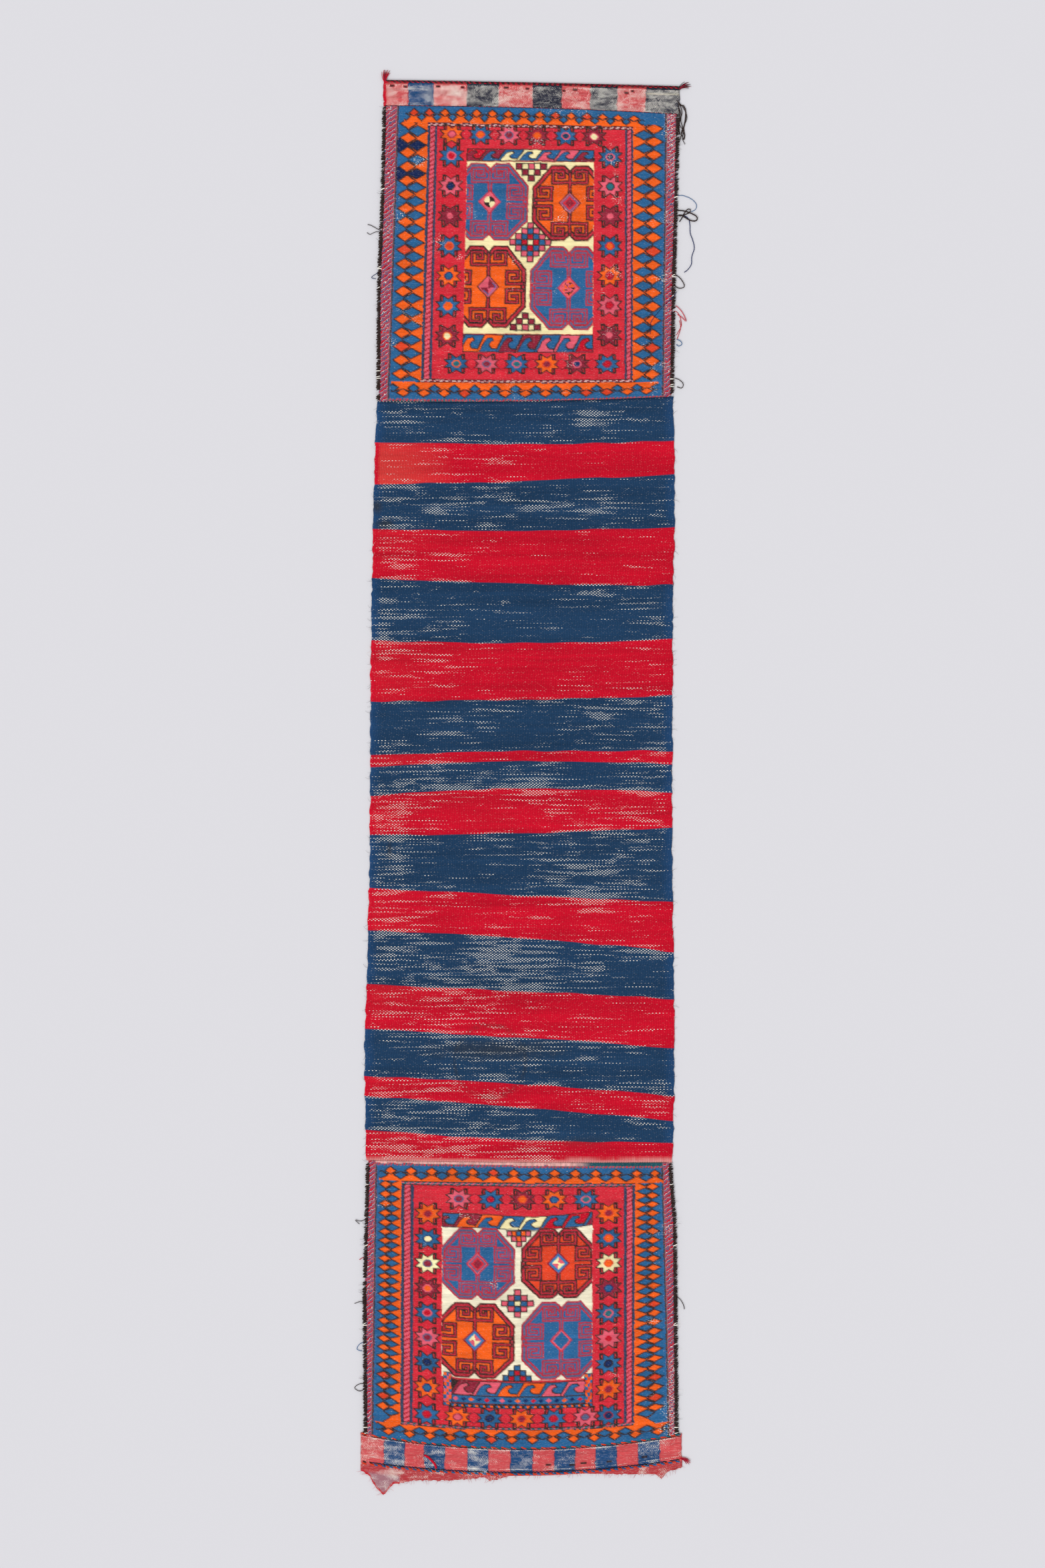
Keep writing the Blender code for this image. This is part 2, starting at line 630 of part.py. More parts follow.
def yarn_material(name):
    """Matt wool of one colour."""
    material = bpy.data.materials.get(name) or bpy.data.materials.new(name)
    material.use_nodes = True
    shader = material.node_tree.nodes["Principled BSDF"]
    shader.inputs["Base Color"].default_value = YARNS[name]
    shader.inputs["Roughness"].default_value = 0.9
    shader.inputs["Metallic"].default_value = 0.0
    material.diffuse_color = YARNS[name]
    return material


def add_object(name, mesh_data, yarn=None):
    """An object for one piece, in its own yarn."""
    piece = bpy.data.objects.new(name, mesh_data)
    bpy.context.scene.collection.objects.link(piece)
    if yarn:
        mesh_data.materials.append(yarn_material(yarn))
    return piece


def weave_cloth():
    """The cloth as one closed body: its patterned upper side over a flat underside."""
    chart = Chart()
    draw_outline(chart)
    draw_twining(chart, (TOP_LINE, UPPER_BAND_LINE), UPPER_BLOCKS, "dark")
    draw_band(chart, (UPPER_BAND_LINE, UPPER_FACE_LINE), UPPER_BLOCKS, ("red", "navy"))
    draw_stripes(chart)
    draw_face(chart, UPPER, UPPER_FRAME_TOP, UPPER_FACE_LINE, UPPER_END_LINE)
    draw_face(chart, LOWER, LOWER_FRAME_TOP, LOWER_FACE_LINE, LOWER_END_LINE)
    draw_band(chart, (LOWER_END_LINE, LOWER_BAND_LINE), LOWER_BLOCKS, ("red", "blue"), LOWER_BAND_FLARE)
    draw_twining(chart, (LOWER_BAND_LINE, TWINING_LINE), LOWER_BLOCKS, "dark", LOWER_BAND_FLARE)
    spots, heights, triangles, yarns = chart.surface()
    names = list(YARNS)
    bm = bmesh.new()
    verts = []
    for spot, height in zip(spots, heights):
        verts.append(bm.verts.new((spot.x * MM, spot.y * MM, (height or FACE_THICK) * MM)))
    for corners, yarn in zip(triangles, yarns):
        if yarn is None:
            continue
        face = bm.faces.new([verts[i] for i in corners])
        face.material_index = names.index(yarn)
    loose = [v for v in bm.verts if not v.link_faces]
    bmesh.ops.delete(bm, geom=loose, context="VERTS")
    rim = [e for e in bm.edges if e.is_boundary]
    skirt = bmesh.ops.extrude_edge_only(bm, edges=rim)["geom"]
    for vert in (g for g in skirt if isinstance(g, bmesh.types.BMVert)):
        vert.co.z = 0.0
    under = bmesh.ops.holes_fill(bm, edges=[e for e in bm.edges if e.is_boundary], sides=0)["faces"]
    bmesh.ops.triangulate(bm, faces=under)
    bmesh.ops.recalc_face_normals(bm, faces=bm.faces)
    data = bpy.data.meshes.new("woven_cloth")
    bm.to_mesh(data)
    bm.free()
    for name in names:
        data.materials.append(yarn_material(name))
    return add_object("woven_cloth", data)


def whipping_beads(sign, lines):
    """Stations along a whipping: distance from the upper end, inner edge, and how fat it is there."""
    edge = [(d, x) for x, d in side_places(sign, lines, WHIPPING_WIDTH)]
    start, end = (
        sorted(level(line, end_x(line, sign, inset)) for inset in (0.0, WHIPPING_WIDTH))
        for line in lines
    )
    start, end = start[-1] + SEAT, end[0] - SEAT
    halves = 2 * max(round((end - start) / WHIPPING_PITCH), 2)
    beads = []
    for i in range(halves + 1):
        d = start + (end - start) * i / halves
        beads.append((d, between(edge, d), 1.0 if i % 2 else BEAD_WAIST))
    return beads


def skin(name, rings, yarn):
    """One closed body over a row of rings, which are lists of places in millimetres."""
    bm = bmesh.new()
    rings = [[bm.verts.new([c * MM for c in place]) for place in ring] for ring in rings]
    for a, b in zip(rings, rings[1:]):
        for j in range(len(a)):
            k = (j + 1) % len(a)
            bm.faces.new((a[j], a[k], b[k], b[j]))
    bm.faces.new(rings[0][::-1])
    bm.faces.new(rings[-1])
    bmesh.ops.triangulate(bm, faces=bm.faces)
    bmesh.ops.recalc_face_normals(bm, faces=bm.faces)
    data = bpy.data.meshes.new(name)
    bm.to_mesh(data)
    bm.free()
    return add_object(name, data, yarn)


def wind_whipping(name, sign, lines):
    """Whipping of seam yarn along one side of a face: a beaded roll that lies against the edge."""
    rings = []
    for d, inner, fat in whipping_beads(sign, lines):
        outer = inner + sign * WHIPPING_WIDTH * fat
        top = FACE_THICK * fat
        rounded = outer - sign * BEAD_ROUND
        rings.append(((inner, -d, 0.0), (rounded, -d, 0.0), (outer, -d, top / 2),
                      (rounded, -d, top * BEAD_SHOULDER), (inner, -d, top)))
    return skin(name, rings, "dark")


def tie_tuft(name, yarn, root, reach, spread, thick):
    """A tuft of warp ends at a corner: a flattened bunch that opens towards its tips."""
    size = math.hypot(*reach)
    nx, nd = -reach[1] / size, reach[0] / size
    rings = []
    for share, width in TUFT_WIDTHS:
        cx = root[0] + reach[0] * share
        cd = root[1] + reach[1] * share
        half = spread * width
        rings.append([(cx + nx * half * a, -cd - nd * half * a, thick * b) for a, b in TUFT_SECTION])
    return skin(name, rings, yarn)


def curved(points, spacing):
    """Places at an even spacing on a smooth curve through a route's points."""
    dense = []
    padded = [points[0], *points, points[-1]]
    for a, b, c, d in zip(padded, padded[1:], padded[2:], padded[3:]):
        a, b, c, d = (Vector(v) for v in (a, b, c, d))
        for i in range(12):
            t = i / 12
            dense.append(0.5 * (2 * b + (c - a) * t + (2 * a - 5 * b + 4 * c - d) * t * t
                                + (3 * b - a - 3 * c + d) * t ** 3))
    dense.append(Vector(points[-1]))
    travel = [0.0]
    for a, b in zip(dense, dense[1:]):
        travel.append(travel[-1] + (b - a).length)
    count = max(int(travel[-1] / spacing), 4)
    places = []
    for i in range(count + 1):
        want = travel[-1] * i / count
        j = min(max(bisect.bisect_right(travel, want), 1), len(dense) - 1)
        share = (want - travel[j - 1]) / max(travel[j] - travel[j - 1], 1e-9)
        places.append(dense[j - 1].lerp(dense[j], share))
    return places


def right_seat(d):
    """How far across the bag reaches on its right side: whipping beside the upper face, else cloth."""
    beads = whipping_beads(1, (UPPER_FACE_LINE, UPPER_END_LINE))
    if d < beads[0][0]:
        return between([(at, x) for x, at in side_places(1, (TOP_LINE, UPPER_FACE_LINE))], d) + SEAT
    return between([(at, inner + WHIPPING_WIDTH * fat) for at, inner, fat in beads], d) + SEAT


def lay_yarn(name, thick, yarn, leaves, route):
    """A loose end of seam yarn: a round tube along its route on the ground."""
    seat = right_seat(leaves)
    places = curved([(seat + out, -leaves - down, thick / 2) for out, down in route], 3 * thick)
    data = bpy.data.curves.new(name, "CURVE")
    data.dimensions = "3D"
    data.bevel_depth = thick / 2 * MM
    data.bevel_resolution = 2
    data.use_fill_caps = True
    spline = data.splines.new("POLY")
    spline.points.add(len(places) - 1)
    for point, place in zip(spline.points, places):
        point.co = (*(place * MM), 1)
    return add_object(name, data, yarn)


def centre_on_origin(pieces, cords):
    """Move the whole bag so that its box without the loose yarn stands over the origin."""
    corners = [v.co for piece in pieces for v in piece.data.vertices]
    shift = Vector((
        -(min(c.x for c in corners) + max(c.x for c in corners)) / 2,
        -(min(c.y for c in corners) + max(c.y for c in corners)) / 2,
        0.0,
    ))
    for piece in pieces:
        for vert in piece.data.vertices:
            vert.co += shift
    for cord in cords:
        for point in cord.data.splines[0].points:
            point.co = (point.co.x + shift.x, point.co.y + shift.y, point.co.z, 1)


def main():
    for old in list(bpy.data.objects):
        bpy.data.objects.remove(old, do_unlink=True)
    upper_side = (UPPER_FACE_LINE, UPPER_END_LINE)
    lower_side = (LOWER_FACE_LINE, LOWER_END_LINE)
    corners = {
        "top_left": (-side(LEFT_EDGE, 0), level(TOP_LINE, -HALF_WIDTH)),
        "top_right": (side(RIGHT_EDGE, 0), level(TOP_LINE, HALF_WIDTH)),
        "low_right": across_line(TWINING_LINE, (1.0,), -LOWER_BAND_FLARE)[0],
    }
    pieces = [
        weave_cloth(),
        wind_whipping("whipping_upper_left", -1, upper_side),
        wind_whipping("whipping_upper_right", 1, upper_side),
        wind_whipping("whipping_lower_left", -1, lower_side),
        wind_whipping("whipping_lower_right", 1, lower_side),
    ]
    for name, yarn, corner, offset, reach, spread, thick in CORNER_TUFTS:
        root = [a + b for a, b in zip(corners[corner], offset)]
        pieces.append(tie_tuft(name, yarn, root, reach, spread, thick))
    cords = [lay_yarn(*row) for row in SEAM_YARNS]
    centre_on_origin(pieces, cords)


main()
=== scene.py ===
"""Looks of a soumak saddle bag that lies opened out flat: woven panels, whippings, tufts and yarn ends.

Lengths across the cloth (x) and down from its upper end (d) are in millimetres in the drawing
functions, as a weaver would measure them. Meshes, curves and properties of the stage are in metres.
"""

import bisect
import math

import bpy
import numpy as np
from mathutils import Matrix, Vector


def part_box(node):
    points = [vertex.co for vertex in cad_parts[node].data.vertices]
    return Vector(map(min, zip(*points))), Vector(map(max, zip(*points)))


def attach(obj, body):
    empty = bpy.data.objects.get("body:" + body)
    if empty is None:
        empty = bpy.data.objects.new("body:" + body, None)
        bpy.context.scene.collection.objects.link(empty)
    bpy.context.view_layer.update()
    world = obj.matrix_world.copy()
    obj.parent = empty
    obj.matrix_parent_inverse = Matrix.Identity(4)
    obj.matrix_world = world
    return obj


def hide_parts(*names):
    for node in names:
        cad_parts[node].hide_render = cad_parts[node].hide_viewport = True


bl_info = {
    "name": "Soumak saddle bag",
    "version": (1, 0, 0),
    "blender": (4, 5, 0),
    "location": "3D View > Sidebar > Saddle Bag",
    "description": "Weaves the panels, whippings, tufts and loose yarns of an opened saddle bag",
    "category": "Object",
}

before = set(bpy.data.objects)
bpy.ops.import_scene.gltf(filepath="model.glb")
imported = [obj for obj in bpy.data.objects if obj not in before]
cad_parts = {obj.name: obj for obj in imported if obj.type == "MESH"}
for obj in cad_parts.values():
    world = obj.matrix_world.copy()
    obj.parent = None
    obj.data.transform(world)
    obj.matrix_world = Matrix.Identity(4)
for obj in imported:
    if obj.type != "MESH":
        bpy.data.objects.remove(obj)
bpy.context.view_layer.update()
MM = 0.001


def srgb(red, green, blue):
    """Linear colour of a display colour given from 0 to 255."""
    shares = [c / 255 for c in (red, green, blue)]
    return tuple(c / 12.92 if c <= 0.04045 else ((c + 0.055) / 1.055) ** 2.4 for c in shares)


# Lengths along the warp, measured on the centre line, as in the part's own drawing
TWINING = 6.0
UPPER_BAND = 35.0
UPPER_LEAD = 2.0
UPPER_TAIL = 3.0
LOWER_LEAD = 8.0
LOWER_TAIL = 4.0
LOWER_BAND = 38.0
HEM_SHORT = 1.5
HALF_WIDTH = 240.0
WHIPPING_WIDTH = 5.2
LOWER_BAND_FLARE = 6.0

# Stripes from the upper face down: yarn, length, how far the lower edge hangs at the left and right side
STRIPES = (
    ("blue", 69, -4, -6),
    ("red", 59, 4, -12),
    ("blue", 79, -4, -6),
    ("red", 85, -9, 2),
    ("blue", 95, -4, -6),
    ("red", 91, 2, -7),
    ("blue", 82, 6, 0),
    ("red", 16, 9, 5),
    ("blue", 44, 11, 7),
    ("red", 71, 2, -9),
    ("blue", 100, -12, 10),
    ("red", 68, -12, 22),
    ("blue", 85, -11, 12),
    ("red", 75, -14, 15),
    ("blue", 74, -12, 18),
    ("red", 37, -17, 21),
    ("blue", 51, -14, 5),
    ("red", 37, -3, 0),
)

# Side edges: share of the length from the upper end, distance from the centre line
LEFT_EDGE = (
    (0.0, 223.5), (0.079, 227), (0.146, 233), (0.228, 234), (0.288, 239), (0.405, 244),
    (0.542, 245), (0.637, 250), (0.69, 254), (0.75, 253), (0.78, 251), (0.87, 256), (1.0, 254),
)
RIGHT_EDGE = (
    (0.0, 251), (0.079, 247), (0.146, 243), (0.228, 240), (0.288, 243), (0.405, 239),
    (0.542, 238), (0.637, 240.5), (0.69, 242), (0.75, 240.5), (0.78, 238), (0.82, 245), (1.0, 248),
)
UPPER_BLOCKS = (0.084, 0.17, 0.282, 0.389, 0.504, 0.603, 0.699, 0.79, 0.886)
LOWER_BLOCKS = (
    0.073, 0.137, 0.198, 0.262, 0.332, 0.398, 0.467, 0.536, 0.603, 0.669, 0.732, 0.798, 0.864, 0.932,
)

# The torn hem past the lower band: share of the width, how far it hangs below the twining
HEM = (
    (0.0, 10), (0.03, 19), (0.04, 30), (0.07, 46), (0.1, 27), (0.16, 17), (0.25, 13), (0.34, 8),
    (0.385, 4), (0.4, 10), (0.43, 7), (0.46, 1.5), (0.7, 1.5), (0.78, 6), (0.86, 10), (0.92, 14),
    (0.935, 22), (0.955, 13), (1.0, 9),
)

# The two faces, drawn in their own straight frame: p across and q down, in millimetres.
# - columns and rows: sizes of the nested borders; lean and tilt: how far the cloth skews their lines
# - lozenges: pitch, first place, count, half width and half height; top_row and end_row: first place,
#   pitch and count; row_heads: half heights in pitches; deep: which blue lozenges are navy
# - stars: place of the first, step across and down, then ground yarn, heart and rim of each
# - hooks: box, sag, place of the first hook in steps, steps across, and the bars' yarns
# - medallions: ground yarn, middle, half width, half height and heart
# - checks: middle, size of a cell, cells in each row, and yarns from the middle outwards
# - ribbons: box, whether upright, and yarns; stripes_at: which end meets the striped cloth
# - worn, worn_to and bare: wear all over, how far across the lead has worn pale, and worn patches as
#   centre, half width, half height and strength
UPPER = {
    "left": -206.5,
    "columns": (48.5, 16, 49.3, 204.7, 50.7, 12.8, 49.1),
    "lean": (8, 6.4, 5.3, 5.1, 2, 0.5, 0.5, 2.7),
    "rows": (24.5, 5.4, 54.4, 275.3, 73.6, 5.3, 25.6),
    "tilt": ((-3, 13), (-4, 5), (-4, 6), (-1, 2), (-2, 1), (-4, -3), (-4, -3), (-2, -7)),
    "lozenges": (22.2, 26.5, 19, 11.4, 8.7),
    "top_row": (25.0, 25.6, 15),
    "end_row": (21.4, 32.0, 13),
    "row_heads": (0.32, 0.27),
    "stars": (
        (88.0, 75.4, 0, 48.1, (
            ("sky", "red", "pink"), ("pink", "navy", "dark"), ("maroon", "pink", "maroon"),
            ("sky", "rust", "orange"), ("orange", "sky", "navy"), ("sky", "orange", "orange"),
            ("maroon", "cream", "orange"))),
        (345.0, 75.4, 0, 47.6, (
            ("sky", "blue", "pink"), ("pink", "teal", "dark"), ("maroon", "pink", "maroon"),
            ("sky", "orange", "red"), ("orange", "red", "maroon"), ("pink", "red", "maroon"),
            ("maroon", "pink", "maroon"))),
        (88.3, 42.0, 46, 0, (
            ("orange", "pink", "maroon"), ("sky", "orange", "rust"), ("pink", "maroon", "grey"),
            ("maroon", "orange", "rust"), ("sky", "blue", "pink"), ("maroon", "cream", "pink"))),
        (103.5, 408.0, 47.7, 0, (
            ("sky", "teal", "orange"), ("pink", "maroon", "grey"), ("sky", "teal", "pink"),
            ("orange", "maroon", "rust"), ("maroon", "navy", "pink"), ("sky", "red", "maroon"))),
    ),
    "hooks": (
        (114, 65.5, 318, 82.0, (0, 0), 0.83, 6.8,
         ("red", "maroon", "sky", "cream", "sky", "pink", "sky", "maroon")),
        (114, 362, 318, 388, (0, 0), 0.88, 6.7,
         ("sky", "orange", "sky", "maroon", "sky", "pink", "sky", "red")),
    ),
    "medallions": (
        ("sky", 151.2, 148.5, 62.0, 62, "quartered"),
        ("orange", 280, 150, 60.5, 60.5, "ringed"),
        ("orange", 151.5, 284.5, 60.5, 66, "patched"),
        ("sky", 280, 286, 62.0, 67, "flecked"),
    ),
    "checks": (
        (217.6, 213, (9.4, 8.9), (1, 3, 5, 7, 5, 3, 1), ("cream", "red", "sky", "pink")),
        (217.6, 101, (9.8, 9.4), (5, 3, 1), ("pink", "cream", "maroon")),
        (211.5, 340, (9.6, 9.2), (1, 3, 5), ("pink", "cream", "maroon")),
    ),
    "guard": ("warp", "maroon"),
    "star_size": (1.06, 0.95, 0.84),
    "stripes_at": 1,
    "worn_to": -40,
    "worn": 0.2,
    "field": ("cream", 0.0),
    "deep": (1, 3),
    "ribbons": (),
    "bare": (
        (238, 40, 13, 70, 1.2), (-137, 208, 12, 14, 1.3), (-99, 235, 14, 6, 1.2), (-160, 84, 12, 8, 1.1),
    ),
}
LOWER = {
    "left": -236.9,
    "columns": (41.1, 19.7, 46.1, 240.4, 50.7, 17.1, 48.0),
    "lean": (3.2, 0.5, 1.1, 1.3, 0.5, 0, 1, -5.3),
    "rows": (24.5, 6.4, 63, 246.5, 75.7, 4.8, 23),
    "tilt": ((-5, 1), (-5, -1), (-5, -1), (-5, -7), (-24, -22), (-17, -17), (-16, -16), (-18, -18)),
    "lozenges": (15.26, 31.0, 25, 10.4, 6.0),
    "top_row": (23.5, 32.9, 14),
    "end_row": (23.0, 32.8, 14),
    "row_heads": (0.29, 0.35),
    "stars": (
        (83.7, 75.5, 0, 40.8, (
            ("orange", "maroon", "rust"), ("sky", "cream", "navy"), ("cream", "maroon", "grey"),
            ("maroon", "orange", "pink"), ("sky", "red", "pink"), ("pink", "maroon", "grey"),
            ("sky", "navy", "dark"), ("orange", "sky", "navy"), ("sky", "red", "maroon"))),
        (373.5, 74.5, 0, 40.9, (
            ("orange", "maroon", "rust"), ("sky", "orange", "rust"), ("cream", "orange", "rust"),
            ("maroon", "sky", "navy"), ("sky", "teal", "pink"), ("pink", "red", "pink"),
            ("sky", "navy", "dark"), ("orange", "maroon", "rust"), ("sky", "navy", "maroon"))),
        (133, 51, 51, 0, (
            ("pink", "maroon", "grey"), ("sky", "red", "navy"), ("maroon", "orange", "rust"),
            ("orange", "sky", "navy"), ("sky", "teal", "pink"))),
        (133, 402, 51, 0, (
            ("orange", "pink", "maroon"), ("sky", "navy", "dark"), ("orange", "maroon", "rust"),
            ("sky", "red", "maroon"), ("pink", "grey", "maroon"))),
    ),
    "hooks": (
        (108, 71, 346, 91, (4, 4.5, 6.5, 9, 6, 1.5), 0.62, 6.85,
         ("sky", "maroon", "orange", "sky", "cream", "sky", "red", "sky", "maroon")),
        (123.5, 345, 336, 366, (0, 0), 1.1, 6.05,
         ("maroon", "pink", "sky", "orange", "sky", "pink", "sky", "maroon")),
    ),
    "medallions": (
        ("sky", 163.5, 155, 60, 58, "ringed"),
        ("rust", 293, 153.6, 60, 56.5, "window"),
        ("orange", 159.5, 278.5, 64, 61, "window"),
        ("sky", 297.8, 277.5, 63.5, 62.5, "plain"),
    ),
    "checks": (
        (227.7, 217.5, (10.2, 8.7), (1, 3, 5, 3, 1), ("cream", "sky", "pink")),
        (229.5, 114, (7.6, 8.3), (5, 3, 1), ("sky", "orange", "pink")),
        (227.7, 329, (9.0, 8.2), (1, 3, 5), ("sky", "red")),
    ),
    "guard": ("pink", "teal"),
    "star_size": (1.13, 0.93, 0.88),
    "stripes_at": 0,
    "worn_to": 345,
    "worn": 0.05,
    "field": ("warp", 0.55),
    "deep": (),
    "ribbons": (
        (123.5, 368, 336, 378.5, False, ("pink", "navy", "orange", "navy", "red", "navy")),
        (111, 334, 122.5, 384, True, ("orange", "sky", "pink")),
        (336.5, 334, 347, 384, True, ("orange", "sky", "rust")),
        (111, 381.5, 347, 385, True, ("sky", "orange", "dark")),
    ),
    "bare": ((240, 375, 12, 62, 1.5), (-215, 60, 20, 14, 0.9)),
}

# Right half of a medallion's outline, as shares of its half width and half height, and the routes of
# its squared spirals in millimetres: on the stem above and below the heart, and on the side frame
MEDALLION = (
    (0.0, -0.87), (0.14, -1.0), (0.5, -1.0), (1.0, -0.42), (1.0, 0.5), (0.5, 1.0), (0.14, 1.0),
    (0.0, 0.87),
)
STEM_SPIRAL = ((0, -33.5), (27.2, -33.5), (27.2, -52), (10.2, -52), (10.2, -42.5), (17.8, -42.5),
               (17.8, -45.5))
SIDE_SPIRAL = ((57, -5.3), (29.3, -5.3), (29.3, -24.5), (46.5, -24.5), (46.5, -14.5), (38.5, -14.5))

# Half width and half height of the medallion that the spirals' routes were measured on
MEDALLION_WIDE = 60.0
MEDALLION_HIGH = 62.0

# Widths of a spiral and of the frame, each with a core of another yarn, and the heart's half sizes
SPIRAL_BAND = 6.7
SPIRAL_CORE = 2.4
FRAME_BAND = 8.8
FRAME_CORE = 3.8
HEART_HIGH = 19.2
HEART_WIDE = 18.4

# A star, the thick dark bracket round each of its upright points, and the hexagon between two stars
STAR_REACH = 24.0
STAR_RADIUS = 19.0
STAR_WAIST = 0.6
STAR_BRACKET = ((-13.0, -19.4), (-7.4, -19.4), (-8.2, -16.4), (-10.4, -15.0), (-10.0, -8.0), (-13.0, -8.0))
BETWEEN_STARS = (7.4, 8.6)
OUTLINE = 1.75

# A running-dog hook, as shares of a step across and of the band's height down; it grows out of the base
# of the next slanting bar, and its head bends towards that bar
HOOK = (
    (0.15, 1.2), (0.18, 0.4), (0.25, 0.2), (0.46, 0.15), (0.61, 0.33), (0.52, 0.38), (0.45, 0.52),
    (0.54, 0.69), (0.72, 0.83), (1.12, 0.86), (1.12, 1.2),
)
HOOK_SLANT = 12.4

# Where the line between the two grounds of a lozenge border runs, as a share of the border's width
LOZENGE_AXIS = 0.49

# A ribbon's diamonds and an upright ribbon's checks
RIBBON_STEP = 12.4
RIBBON_CHECK = (3.9, 5.0)

# The stage: half the floor's side and its drop below the bag, the camera's sensor, the lamp's width
FLOOR_HALF = 4.0
FLOOR_DROP = 0.0004
SENSOR = 36
LAMP_ANGLE = math.radians(24)
LAMP_TILT = math.radians(32)

# Loose ends of seam yarn, as in the part: node, thickness, yarn, and route as (outward, down)
SEAM_YARNS = (
    ("seam_yarn_upper_bundle", 2.0, "dark",
     ((0, 0), (6.5, 0.3), (9.5, 8), (9.5, 18), (8, 29), (6, 38), (8, 47), (7, 54))),
    ("seam_yarn_pale_loop", 0.9, "sky",
     ((0, 0), (2, 0), (9, 0), (18, 3), (26, 8), (31, 15), (29.5, 22), (22.5, 26))),
    ("seam_yarn_long", 1.2, "navy",
     ((0, 0), (3, 0), (11, 0), (19, 5), (21.5, 15), (22, 28), (26.5, 41), (28.5, 53), (24.5, 66),
      (24, 78), (18, 87), (12.5, 91))),
    ("seam_yarn_red", 0.9, "red",
     ((0, 0), (2, 0), (4.5, 1), (8.5, 6), (11, 14), (12, 23), (8, 31), (4, 38))),
)

# Stains and dirt on the striped cloth: centre, half width, half height, width of the line where the
# stain is a ring and 0 where it is a patch, and strength
STAINS = (
    (-53, 1566, 57, 58, 4.2, 0.62),
    (-43, 1548, 120, 17, 0, 0.55),
    (-236, 679, 11, 12, 0, 0.75),
    (-224, 707, 20, 8, 0, 0.7),
    (-214, 1226, 5, 17, 0, 0.65),
    (92, 1694, 60, 9, 0, 0.35),
)

# Dark repair stitches on the bands: share of the width, distance down, length
UPPER_STITCHES = (
    (0.03, 9, 6), (0.075, 10, 5), (0.185, 9, 6), (0.268, 10, 5), (0.415, 9, 7), (0.487, 10, 5),
    (0.61, 12, 4), (0.648, 10, 7), (0.821, 13, 6), (0.842, 10, 4),
)
LOWER_STITCHES = ((0.585, 28, 8), (0.66, 30, 9), (0.695, 28, 9), (0.775, 29, 8), (0.885, 28, 9))

# Frayed ends, small loops and a tuft of seam yarn: yarn, thickness, height, route as (across, down)
THREADS = (
    ("dark", 1.9, 1.4, ((247, 205), (254, 205), (262, 207), (270, 210), (277, 214), (279, 219), (274, 222),
                        (266, 220), (259, 216), (252, 212), (246, 214))),
    ("dark", 1.6, 1.6, ((250, 214), (257, 212), (265, 209), (268, 204), (263, 203), (258, 209), (254, 217),
                        (250, 223))),
    ("navy", 0.8, 4.4, ((246, 335), (238, 346), (223, 360), (206, 381), (203, 392), (203, 403))),
    ("dark", 1.4, 1.2, ((243, 307), (251, 313), (257, 322), (257, 328), (248, 329), (243, 325))),
    ("red", 1.1, 1.2, ((244, 357), (250, 362), (256, 370), (261, 382), (254, 376), (247, 371))),
    ("red", 1.0, 1.2, ((250, 381), (252, 390), (250, 400), (246, 411))),
    ("sky", 1.1, 1.2, ((246, 411), (252, 414), (254, 419), (249, 422), (245, 419))),
    ("dark", 1.2, 1.2, ((243, 473), (250, 476), (256, 482), (254, 489), (246, 487))),
    ("dark", 1.3, 2.0, ((246, 28), (251, 36), (254, 48), (252, 60), (255, 74), (252, 88), (249, 97))),
    ("dark", 1.0, 1.2, ((247, 30), (256, 40), (262, 55), (258, 68), (253, 80), (257, 92))),
    ("dark", 1.5, 1.4, ((246, 27), (249, 40), (251, 55), (249, 70), (251, 84))),
    ("dark", 0.9, 1.0, ((247, 34), (253, 52), (250, 66), (256, 78), (255, 90), (259, 99))),
    ("dark", 1.0, 1.0, ((-225, 239), (-234, 234), (-243, 229), (-249, 227))),
    ("dark", 0.9, 0.8, ((-225, 240), (-236, 239), (-245, 243), (-250, 240))),
    ("navy", 0.9, 0.8, ((-226, 303), (-235, 306), (-243, 312), (-236, 314))),
    ("dark", 0.9, 0.8, ((-251, 1818), (-260, 1822), (-269, 1820), (-262, 1827))),
    ("red", 1.1, 0.9, ((-252, 1880), (-258, 1881), (-262, 1884))),
    ("dark", 0.9, 0.8, ((-252, 1953), (-261, 1951), (-270, 1954))),
    ("sky", 0.9, 0.8, ((-253, 2015), (-262, 2019), (-266, 2027), (-258, 2030))),
    ("dark", 1.0, 0.8, ((-254, 2082), (-263, 2083), (-270, 2089), (-262, 2094), (-254, 2091))),
    ("dark", 1.0, 0.9, ((241, 1941), (250, 1946), (256, 1955), (258, 1963))),
    ("red", 3.4, 3.6, ((-158, 2196), (-152, 2199), (-146, 2205), (-141, 2211), (-139, 2217))),
)


def colour_property(name, description, default):
    """A yarn colour that a user can change."""
    return bpy.props.FloatVectorProperty(
        name=name, description=description, subtype="COLOR", size=3, min=0.0, max=1.0, default=default)


